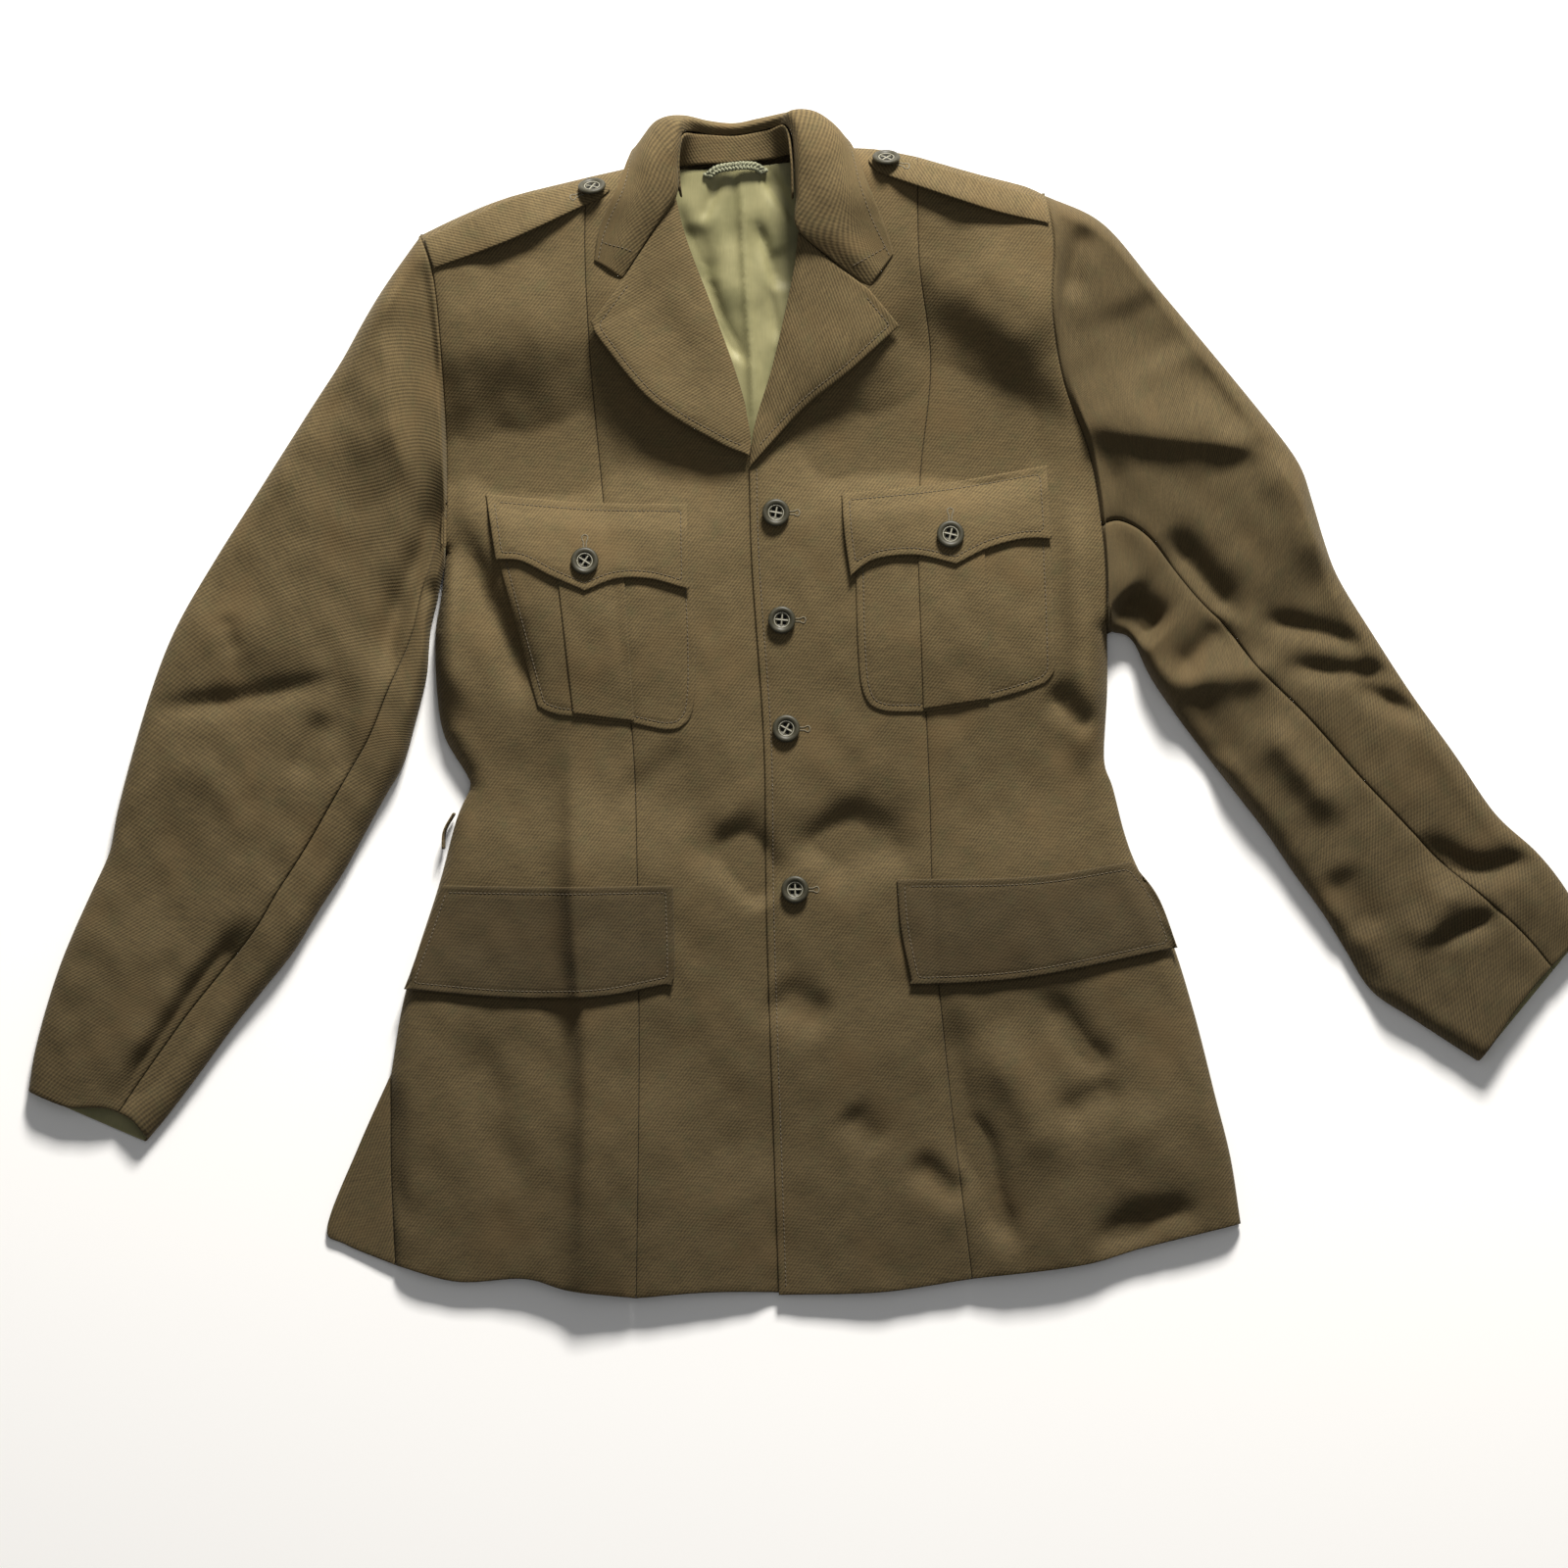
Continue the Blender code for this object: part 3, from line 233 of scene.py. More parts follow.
# height (below 0 for a trough), the width on either side, crispness (low is crisp), and pixels along the line
bodyFolds = readFolds([
    (-6.5, 28, 40, 2.0, [(425, 415), (490, 460), (560, 474), (620, 466), (660, 462)]),
    (3, 24, 30, 2.0, [(430, 330), (500, 345), (590, 330)]),
    (-3, 24, 16, 2.0, [(580, 330), (625, 415), (690, 478), (790, 520)]),
    (-6, 11, 9, 1.5, [(462, 520), (490, 588), (522, 657), (545, 735)]),
    (4, 10, 10, 2.0, [(450, 540), (455, 640), (470, 740)]),
    (6.5, 8, 34, 1.4, [(582, 690), (588, 900), (595, 1000), (600, 1140), (592, 1400)]),
    (-2, 25, 25, 2.0, [(650, 770), (720, 850)]),
    (-2.5, 9, 9, 2.0, [(454, 346), (458, 512), (454, 640)]),
    (-7, 24, 42, 2.0, [(770, 500), (850, 466), (930, 460), (1000, 468), (1095, 462)]),
    (-5, 30, 20, 2.0, [(890, 300), (985, 372), (1050, 425), (1110, 470)]),
    (3, 24, 26, 2.0, [(960, 270), (1020, 310), (1080, 360)]),
    (4, 10, 10, 2.0, [(1095, 480), (1103, 640), (1108, 800)]),
    (-3, 8, 8, 1.6, [(1065, 700), (1118, 750)]),
    (-4, 16, 18, 2.0, [(732, 840), (798, 912)]),
    (-4, 16, 18, 2.0, [(822, 884), (880, 866), (940, 842)]),
    (-3, 16, 16, 2.0, [(692, 842), (788, 898)]),
    (-3, 10, 10, 1.8, [(806, 880), (850, 847), (900, 820)]),
    (-3, 8, 8, 1.8, [(748, 870), (786, 925)]),
    (-3, 12, 12, 2.0, [(782, 1008), (852, 1045)]),
    (-4, 8, 12, 1.5, [(966, 1015), (975, 1110), (985, 1160), (1005, 1215)]),
    (-6, 9, 9, 1.4, [(985, 1130), (1020, 1238), (1048, 1275)]),
    (-3, 10, 10, 1.6, [(1075, 1146), (1110, 1122), (1148, 1104)]),
    (-4, 9, 9, 1.5, [(1064, 1002), (1108, 1073), (1150, 1081)]),
    (-2, 9, 9, 1.8, [(860, 1130), (903, 1174)]),
    (-3, 9, 9, 1.8, [(925, 1178), (988, 1228)]),
    (-4, 9, 9, 1.5, [(1105, 1272), (1150, 1252), (1196, 1235), (1225, 1256)]),
    (4, 14, 14, 1.8, [(1002, 1045), (1050, 1130), (1075, 1210)]),
    (3, 20, 20, 2.0, [(1145, 1115), (1180, 1200), (1155, 1255)]),
    (-2.5, 30, 30, 2.0, [(640, 1040), (720, 1120), (760, 1230)]),
    (-2.5, 14, 14, 2.0, [(478, 1040), (500, 1130), (520, 1230)]),
    (-3.0, 8, 8, 2.0, [(402, 1100), (398, 1190), (404, 1260)]),
])
drawnSeams = {name: curve(points, 17.0) for name, points in seams.items()}
dippedSeams = [drawnSeams[name] for name in ("princessLeft", "princessRight", "armholeLeft", "armholeRight")]


def backLift(x, y):
    # the folded collar holds the back off the floor
    return 2.8 * softStep(y, 310, 338) * softStep(x, -165, -128) * (1 - softStep(x, 45, 80))


def bodyTop(x, y):
    # the height of the fronts over the whole outline, lowest at the sides
    centre = softTable(y, plump["widths"], 1)
    share = np.clip(np.abs(x - centre) / softTable(y, plump["widths"], 2), 0, 1)
    low, middle, high = (softTable(y, plump["levels"], column) for column in (1, 2, 3))
    form = np.where(share < 0.5, low + (middle - low) * softStep(share, 0, 0.5),
                    middle + (high - middle) * softStep(share, 0.5, 1))
    side = np.min([distance(x, y, drawnSeams[n]) for n in ("sideLeft", "backSideLeft", "sideRight")], axis=0)
    shoulder = np.min([distance(x, y, drawnSeams[n]) for n in drawnSeams if n.startswith("shoulder")], axis=0)
    edge = rounded(side, cloth["sideRoll"]) * rounded(shoulder, cloth["shoulderRoll"])
    folded = form + relief(x, y, bodyFolds) + ripple(x, y, clothWaves) + ripple(x, y, fineWaves)
    form = np.maximum(folded, 0.5 * form)
    rim = cloth["sideEdge"] + backLift(x, y)
    seam = np.min([distance(x, y, line) for line in dippedSeams], axis=0)
    dip = cloth["seamDip"] * np.exp(-((seam / cloth["seamDipWidth"]) ** 2))
    return rim + np.maximum(form - rim, 1) * edge - dip * edge


def steepness(height, x, y):
    slopeX = (height(x + 1, y) - height(x - 1, y)) / 2
    slopeY = (height(x, y + 1) - height(x, y - 1)) / 2
    return np.sqrt(1 + np.minimum(slopeX**2 + slopeY**2, 4))


def bodySteepness(x, y):
    return steepness(bodyTop, x, y)


# Finishes

class Field:
    # a value that changes over the cloth, with the arithmetic that its nodes do
    def __init__(self, finish, socket):
        self.finish, self.socket = finish, socket

    def math(self, operation, other=None, swapped=False):
        pair = [self.socket] if other is None else [self.socket, getattr(other, "socket", other)]
        return self.finish.node("ShaderNodeMath", {"operation": operation},
                                dict(enumerate(pair[::-1] if swapped else pair)))

    def __add__(self, other):
        return self.math("ADD", other)

    def __mul__(self, other):
        return self.math("MULTIPLY", other)

    def __sub__(self, other):
        return self.math("SUBTRACT", other)

    def __rsub__(self, other):
        return self.math("SUBTRACT", other, True)

    __radd__, __rmul__ = __add__, __mul__

    def wave(self):
        return self.math("SINE") * 0.5 + 0.5

    def between(self, low, high):
        return self.finish.node("ShaderNodeMapRange", {"interpolation_type": "SMOOTHSTEP", "clamp": True},
                                {0: self, 1: low, 2: high, 3: 0.0, 4: 1.0})


class Finish:
    def __init__(self, name, **constants):
        self.material = bpy.data.materials.new(name)
        self.material.use_nodes = True
        self.tree = self.material.node_tree
        self.shader = self.tree.nodes["Principled BSDF"]
        for socket, value in constants.items():
            self.shader.inputs[socket.replace("_", " ")].default_value = value

    def node(self, kind, settings, sockets, out=0):
        node = self.tree.nodes.new(kind)
        for setting, value in settings.items():
            setattr(node, setting, value)
        for socket, value in sockets.items():
            value = getattr(value, "socket", value)
            if isinstance(value, bpy.types.NodeSocket):
                self.tree.links.new(value, node.inputs[socket])
            else:
                node.inputs[socket].default_value = value
        return Field(self, node.outputs[out])

    def place(self, scale=(1, 1, 1), turn=0.0):
        weave = self.node("ShaderNodeUVMap", {"uv_map": "weave"}, {})
        return self.node("ShaderNodeMapping", {}, {"Vector": weave, "Rotation": (0, 0, turn), "Scale": scale})

    def noise(self, place, scale, detail=2.0, roughness=0.5):
        return self.node("ShaderNodeTexNoise", {}, {"Vector": place, "Scale": scale, "Detail": detail,
                                                    "Roughness": roughness})

    def mix(self, share, first, second):
        return self.node("ShaderNodeMix", {"data_type": "RGBA"}, {0: share, 6: first, 7: second}, 2)

    def feed(self, socket, field):
        self.tree.links.new(field.socket, self.shader.inputs[socket])

    def bump(self, height, strength, depth):
        return self.node("ShaderNodeBump", {}, {"Strength": strength, "Distance": depth, "Height": height})


twill = {
    "pitch": 1.9 * mm, "slope": math.radians(52),
    "light": (0.166, 0.119, 0.052, 1), "dark": (0.036, 0.026, 0.012, 1),
    "warm": (0.128, 0.083, 0.034, 1), "green": (0.072, 0.068, 0.029, 1),
    "fade": 0.68, "paintedShadeFrom": -0.40, "paintedShadeTo": 0.22,      # painted shade: the lower end of the jacket is darker, standing in for the light falling off down it
    "shades": {"rib": 0.46, "step": 0.12, "yarn": 0.50, "slub": 0.46, "less": 0.27},
    "heights": {"rib": 0.8, "step": 0.25, "yarn": 0.5, "slub": 0.35},
    "bump": 0.5, "bumpDepth": 0.30 * mm,
}


def makeTwill(name, spec, turn=0.0, paintedShadeScale=1.0):
    finish = Finish(name, Roughness=0.86, Specular_IOR_Level=0.22, Sheen_Weight=0.07, Sheen_Roughness=0.45,
                    Sheen_Tint=(0.75, 0.66, 0.46, 1))
    flat = finish.place(turn=turn)
    ribs = finish.place(turn=turn - spec["slope"])
    wobble = finish.noise(flat, 260.0, 1.0)
    lengthwise, across = (finish.node("ShaderNodeSeparateXYZ", {}, {0: ribs}, axis) for axis in (0, 1))
    turnsPerRib = 2 * math.pi / spec["pitch"]
    rib = (across * turnsPerRib + wobble * 1.6).wave()
    step = (lengthwise * (turnsPerRib / 1.3) + across * (turnsPerRib / 2)).wave()
    yarn = finish.noise(finish.place(scale=(1, 0.35, 1), turn=turn - spec["slope"]), 900.0, 2.0)
    slub = finish.noise(finish.place(scale=(0.25, 1, 1), turn=turn - spec["slope"]), 420.0, 2.0)
    patch = finish.noise(flat, 16.0, 3.0, 0.6)
    mottle = finish.noise(flat, 70.0, 3.0, 0.6)
    # painted shade: the darker copies of the twill scale all its colours down by this
    light, dark, warm, green = (tuple(c * paintedShadeScale for c in spec[n][:3]) + (1,)
                                for n in ("light", "dark", "warm", "green"))
    shades, heights = spec["shades"], spec["heights"]
    share = rib * shades["rib"] + step * shades["step"] + yarn * shades["yarn"] + slub * shades["slub"]
    base = finish.mix(share - shades["less"], dark, light)
    base = finish.mix(patch.between(0.48, 0.72) * 0.45, base, warm)
    base = finish.mix(mottle.between(0.50, 0.80) * 0.40, base, green)
    # painted shade: the cloth darkens towards the lower end of the jacket, where less light falls
    down = finish.node("ShaderNodeSeparateXYZ", {}, {0: finish.node("ShaderNodeTexCoord", {}, {}, 3)}, 1)
    withPaintedShade = finish.mix(1.0 - down.between(spec["paintedShadeFrom"], spec["paintedShadeTo"]), base, finish.node(
        "ShaderNodeVectorMath", {"operation": "SCALE"}, {0: base, "Scale": spec["fade"]}))
    finish.feed("Base Color", withPaintedShade)
    finish.feed("Roughness", yarn * 0.12 + 0.80)
    raised = rib * heights["rib"] + step * heights["step"] + yarn * heights["yarn"] + slub * heights["slub"]
    finish.feed("Normal", finish.bump(raised, spec["bump"], spec["bumpDepth"]))
    return finish.material


def makeLining(name):
    finish = Finish(name, Roughness=0.5, Specular_IOR_Level=0.26, Sheen_Weight=0.12, Sheen_Roughness=0.3)
    flat = finish.place()
    thread = finish.noise(finish.place(scale=(1, 0.06, 1)), 1500.0, 2.0)
    patch = finish.noise(flat, 30.0, 3.0, 0.6)
    base = finish.mix(patch.between(0.35, 0.75), (0.280, 0.258, 0.128, 1), (0.190, 0.180, 0.084, 1))
    base = finish.mix(thread * 0.35, base, (0.090, 0.088, 0.040, 1))
    finish.feed("Base Color", base)
    finish.feed("Roughness", thread * 0.2 + 0.44)
    finish.feed("Normal", finish.bump(thread, 0.15, 0.12 * mm))
    return finish.material


def makePlastic(name, colour, worn, roughness):
    finish = Finish(name, Specular_IOR_Level=0.35)
    flat = finish.place()
    grain = finish.noise(flat, 700.0, 3.0)
    scuff = finish.noise(flat, 240.0, 4.0, 0.7)
    finish.feed("Base Color", finish.mix(scuff.between(0.45, 0.8) * 0.6, colour, worn))
    finish.feed("Roughness", scuff * 0.3 + roughness)
    finish.feed("Normal", finish.bump(grain, 0.2, 0.08 * mm))
    return finish.material


def makeThread(name, dark, light):
    finish = Finish(name, Roughness=0.7, Sheen_Weight=0.15)
    flat = finish.place()
    twist = finish.noise(flat, 1400.0, 2.0)
    finish.feed("Base Color", finish.mix(twist.between(0.35, 0.65), dark, light))
    finish.feed("Normal", finish.bump(twist, 0.4, 0.1 * mm))
    return finish.material


clothTwill = makeTwill("wool twill", twill)
# painted shade: the underside of the collar's fall is darkened
paintedShadeUnderTwill = makeTwill("wool twill inside painted shade", twill, paintedShadeScale=0.55)
# painted shade: the left sleeve is darkened slightly
paintedShadeLeftSleeveTwill = makeTwill("wool twill left sleeve painted shade", twill, paintedShadeScale=0.94)
# painted shade: the right sleeve is darkened to take down the extra light it gets from the lamp nearby
paintedShadeRightSleeveTwill = makeTwill("wool twill right sleeve painted shade", twill, paintedShadeScale=0.78)
# painted shade: the hip flaps are darkened as if sloping away from the light
paintedShadeFlapTwill = makeTwill("wool twill flap painted shade", twill, paintedShadeScale=0.66)
satin = makeLining("satin lining")
buttonPlastic = makePlastic("button plastic", (0.034, 0.031, 0.018, 1), (0.064, 0.058, 0.036, 1), 0.36)
# painted shade: both near-black colours of the button holes stand in for the dark inside them
buttonHoleShade = makePlastic("button hole painted shade", (0.006, 0.006, 0.005, 1), (0.010, 0.009, 0.007, 1), 0.6)
buttonWeb = makePlastic("worn button web", (0.24, 0.23, 0.18, 1), (0.10, 0.10, 0.075, 1), 0.35)
sewingThread = makeThread("sewing thread", (0.070, 0.052, 0.027, 1), (0.115, 0.088, 0.047, 1))
holeThread = makeThread("buttonhole thread", (0.075, 0.062, 0.036, 1), (0.150, 0.126, 0.074, 1))
braidCord = makeThread("braid", (0.045, 0.052, 0.024, 1), (0.30, 0.30, 0.19, 1))


# Pieces

def makePiece(name, points, faces, weave, finishes, slot, nodes=(), whichFinish=None):
    mesh = bpy.data.meshes.new(name)
    mesh.from_pydata((np.asarray(points) * mm).tolist(), [], faces)
    mesh.polygons.foreach_set("use_smooth", [True] * len(mesh.polygons))
    corners = np.zeros(len(mesh.loops), int)
    mesh.loops.foreach_get("vertex_index", corners)
    layer = mesh.uv_layers.new(name="weave")
    layer.data.foreach_set("uv", (np.asarray(weave)[corners] * mm).ravel())
    for finish in finishes if isinstance(finishes, (list, tuple)) else [finishes]:
        mesh.materials.append(finish)
    if whichFinish is not None:
        mesh.polygons.foreach_set("material_index", whichFinish)
    mesh.update()
    piece = bpy.data.objects.new(name, mesh)
    bpy.context.scene.collection.objects.link(piece)
    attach(piece, "root")
    if nodes:
        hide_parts(*nodes)
    return piece


def turned(points, angle):
    c, s = math.cos(angle), math.sin(angle)
    return np.stack([points[:, 0] * c - points[:, 1] * s, points[:, 0] * s + points[:, 1] * c], 1)


def insetLine(rim, amount):
    into, out = rim - np.roll(rim, 1, axis=0), np.roll(rim, -1, axis=0) - rim
    side = into / np.hypot(*into.T)[:, None] + out / np.hypot(*out.T)[:, None]
    inward = np.stack([-side[:, 1], side[:, 0]], 1) / np.maximum(np.hypot(*side.T), 0.2)[:, None]
    return rim + inward * amount


def latticeIn(rim, step, lines):
    low, high = rim.min(axis=0), rim.max(axis=0)
    rowStep = step * math.sqrt(3) / 2
    rows, columns = int((high[1] - low[1]) / rowStep) + 1, int((high[0] - low[0]) / step) + 1
    row, column = np.divmod(np.arange(rows * columns), columns)
    places = np.stack([low[0] + (column + 0.5 * (row % 2)) * step, low[1] + row * rowStep], 1)
    places = places[inside(*places.T, rim)]
    for fixed, room in [(rim, 0.6 * step)] + [(line, 0.6 * step) for line in lines]:
        near = np.full(len(places), 1e9)
        for start in range(0, len(fixed), 200):
            part = fixed[start:start + 200]
            gap = np.hypot(places[:, :1] - part[:, 0], places[:, 1:] - part[:, 1]).min(axis=1)
            near = np.minimum(near, gap)
        places = places[near > room]
    return places


def cutCloth(name, node, rim, top, thickness, floor, finish=None, slot="cloth", step=None, lines=(),
             gap=None, grain=0.0, roll=1.0):
    # a wall of cloth inside an outline: a fine mesh above and below, joined by a rounded rim
    step = step or meshSize["panel"]
    gap = cloth["seamGap"] if gap is None else gap
    loops = [insetLine(rim, gap / 2 + roll * share) for share in (0.0, 0.3, 0.9)]
    inner = loops[2]
    chains = []
    for line in lines:
        near = np.array([np.hypot(*(inner - place).T).min() for place in line])
        kept = inside(*line.T, inner) & (near > 1.2)
        for part in np.split(np.arange(len(line)), np.where(~kept)[0]):
            part = part[kept[part]] if len(part) else part
            if len(part) > 1:
                chains.append(line[part])
    places = latticeIn(inner, step, chains)
    points, edges = [tuple(p) for p in inner], [(i, (i + 1) % len(inner)) for i in range(len(inner))]
    for chain in chains:
        first = len(points)
        points += [tuple(p) for p in chain]
        edges += [(first + i, first + i + 1) for i in range(len(chain) - 1)]
    points += [tuple(p) for p in places]
    made = delaunay_2d_cdt([Vector(p) for p in points], edges, [], 0, 0.001, True)
    flat = np.array([tuple(p) for p in made[0]])
    triangles = np.array(made[2])
    middles = flat[triangles].mean(axis=1)
    triangles = triangles[inside(*middles.T, inner)]
    a, b, c = (flat[triangles[:, i]] for i in range(3))
    turnedOver = ((b - a)[:, 0] * (c - a)[:, 1] - (b - a)[:, 1] * (c - a)[:, 0]) < 0
    triangles[turnedOver] = triangles[turnedOver][:, ::-1]
    place = {}
    for i, sources in enumerate(made[3]):
        for source in sources:
            place[source] = i
    innerIndex = np.array([place[i] for i in range(len(inner))])

    def bottom(x, y, height):
        return np.maximum(height - thickness * steepness(top, x, y), floor(x, y) if callable(floor) else floor)

    upper = top(*flat.T)
    lower = np.minimum(bottom(*flat.T, upper), upper - 0.3)
    edgeUpper = top(*loops[1].T)
    edgeLower = np.minimum(bottom(*loops[1].T, edgeUpper), edgeUpper - 0.3)
    drop = 0.12 * (edgeUpper - edgeLower)
    count, around = len(flat), len(inner)
    points = np.vstack([
        np.column_stack([flat, upper]), np.column_stack([flat, lower]),
        np.column_stack([loops[1], edgeUpper - drop]), np.column_stack([loops[1], edgeLower + drop]),
        np.column_stack([loops[0], (edgeUpper + edgeLower) / 2]),
    ])
    faces = triangles.tolist() + (triangles[:, ::-1] + count).tolist()
    i = np.arange(around)
    j = (i + 1) % around
    top2, low2 = innerIndex, innerIndex + count
    top1, low1, middle = (2 * count + around * k + i for k in range(3))
    for quads in ((top1[i], top1[j], top2[j], top2[i]), (middle[i], middle[j], top1[j], top1[i]),
                  (low1[j], low1[i], low2[i], low2[j]), (middle[j], middle[i], low1[i], low1[j])):
        faces += np.stack(quads, 1).tolist()
    weave = turned(points[:, :2], grain)
    return makePiece(name, points, faces, weave, finish or clothTwill, slot, (node,))


def insetEdges(edges, rim, inset):
    # a line at a distance inside some edges of an outline, cut off where they meet
    made = []
    for edge in edges:
        line = curve(edge, 2.6)
        way = np.gradient(line, axis=0)
        way /= np.hypot(*way.T)[:, None]
        side = np.stack([-way[:, 1], way[:, 0]], 1)
        if not inside(*(line + side)[len(line) // 2:len(line) // 2 + 1].T, rim)[0]:
            side = -side
        moved = line + side * inset
        closed = np.vstack([rim, rim[:1]])
        made.append(moved[distance(*moved.T, closed) > inset - 0.12])
    return np.vstack(made)


stitch = {"pitch": 2.9, "length": 2.1, "thickness": [0.12, 0.26, 0.30, 0.26, 0.12],
          "shape": [0, 0.12, 0.5, 0.88, 1.0],                   # shares of its length
          "rise": [-0.30, -0.06, 0.02, -0.06, -0.30],           # how far it stands out of the cloth
          "collarRise": [-0.25, 0.05, 0.15, 0.05, -0.25]}
stitches = []       # each one's two ends, and its rise


def stitchesOn(line, first, last):
    # the ends of each stitch along a line, in two or three dimensions
    run = runAlong(line)
    for start in np.arange(first, run[-1] - last, stitch["pitch"]):
        yield np.array([np.interp([start, start + stitch["length"]], run, column) for column in line.T]).T


def sew(line, top):
    flat = [ends for ends in stitchesOn(line, 0.4, stitch["length"])
            if np.hypot(*(ends[1] - ends[0])) > 0.7 * stitch["length"]]
    heights = top(*np.reshape(flat, (-1, 2)).T).reshape(-1, 2, 1)
    stitches.extend((ends, stitch["rise"]) for ends in np.concatenate([flat, heights], 2))


def grooved(top, line):
    width = cloth["grooveWidth"]
    return lambda x, y: top(x, y) - cloth["stitchGroove"] * np.exp(-((distance(x, y, line) / width) ** 2))


def tucked(x, y):
    # the left front passes below the right one
    reach = distance(x, y, drawnSeams["frontEdge"])
    reach = np.where(inside(x, y, frontRightRim), reach, -reach)
    drop = (cloth["shell"] + cloth["plyGap"]) * bodySteepness(x, y) * softStep(reach, -20, -1)
    return bodyTop(x, y) - np.where(y < 190, drop, 0)


def onArmhole(armhole, share):
    line = curve(armhole, 3.0)
    run = runAlong(line)
    return np.stack([np.interp(share * run[-1], run, line[:, i]) for i in (0, 1)], -1)


def chained(*names):
    # names of seams end to end, a minus in front where one runs backwards
    return [seams[n[1:]][::-1] if n[0] == "-" else seams[n] for n in names]


frontLeftRim = closedLine(chained("-princessLeft", "shoulderLeftInner", "neckLeft", "rollLeft", "underlap",
                                  "-hemFrontLeft"))
sideLeftRim = closedLine(chained("-backSideLeft", "-sideLeft", "-armholeLeft", "shoulderLeftOuter",
                                 "princessLeft", "-hemSideLeft"))
frontRightRim = closedLine(chained("princessRight", "-hemFrontRight", "-frontEdge", "-rollRight", "-neckRight",
                                   "-shoulderRightInner"))
sideRightRim = closedLine(chained("shoulderRightOuter", "princessRight", "hemSideRight", "-sideRight",
                                  "-armholeRight"))
flareRim = closedLine(chained("flare", "-backSideLeft"))
backRim = closedLine(chained("-shoulderLeftInner", "-shoulderLeftOuter", "armholeLeft", "sideLeft", "flare",
                             "hemSideLeft", "hemBack", "hemSideRight", "-sideRight", "-armholeRight",
                             "shoulderRightOuter", "shoulderRightInner", "neckBack"), 8.0)


def backTop(x, y):
    return cloth["back"] + backLift(x, y)


def creaseLines(folds, crispness, step):
    # lines that the mesh follows, so that a crisp fold stays crisp
    return [curve(line, step) for _, _, _, crisp, line in folds if crisp < crispness]


def makeBody():
    edge = insetEdges([seams["frontEdge"]], frontRightRim, cloth["stitchInset"])
    beside = [insetEdges([seams["frontEdge"]], frontRightRim, cloth["stitchInset"] + k) for k in (-1.3, 1.3)]
    creases = creaseLines(bodyFolds, 1.7, 3.0)
    onEdge = grooved(bodyTop, edge)
    for name, node, rim, top, lines in (
            ("frontLeftCloth", "front_left", frontLeftRim, tucked, creases),
            ("sideFrontLeftCloth", "side_front_left", sideLeftRim, bodyTop, creases),
            ("frontRightCloth", "front_right", frontRightRim, onEdge, creases + [edge] + beside),
            ("sideFrontRightCloth", "side_front_right", sideRightRim, bodyTop, creases)):
        cutCloth(name, node, rim, top, cloth["shell"], cloth["aboveFloor"], lines=lines)
    sew(edge, bodyTop)

    def flareTop(x, y):
        return 3.4 + 1.2 * (1 - softStep(distance(x, y, drawnSeams["backSideLeft"]), 0, 30)) \
            + 0.25 * ripple(x, y, clothWaves)

    cutCloth("backSideLeftCloth", "side_back_left", flareRim, flareTop, cloth["shell"], 0.4, grain=-0.25)
    cutCloth("backCloth", "back", backRim, backTop, cloth["back"], backLift, step=meshSize["back"],
             gap=cloth["backGap"])


# What is sewn on the fronts

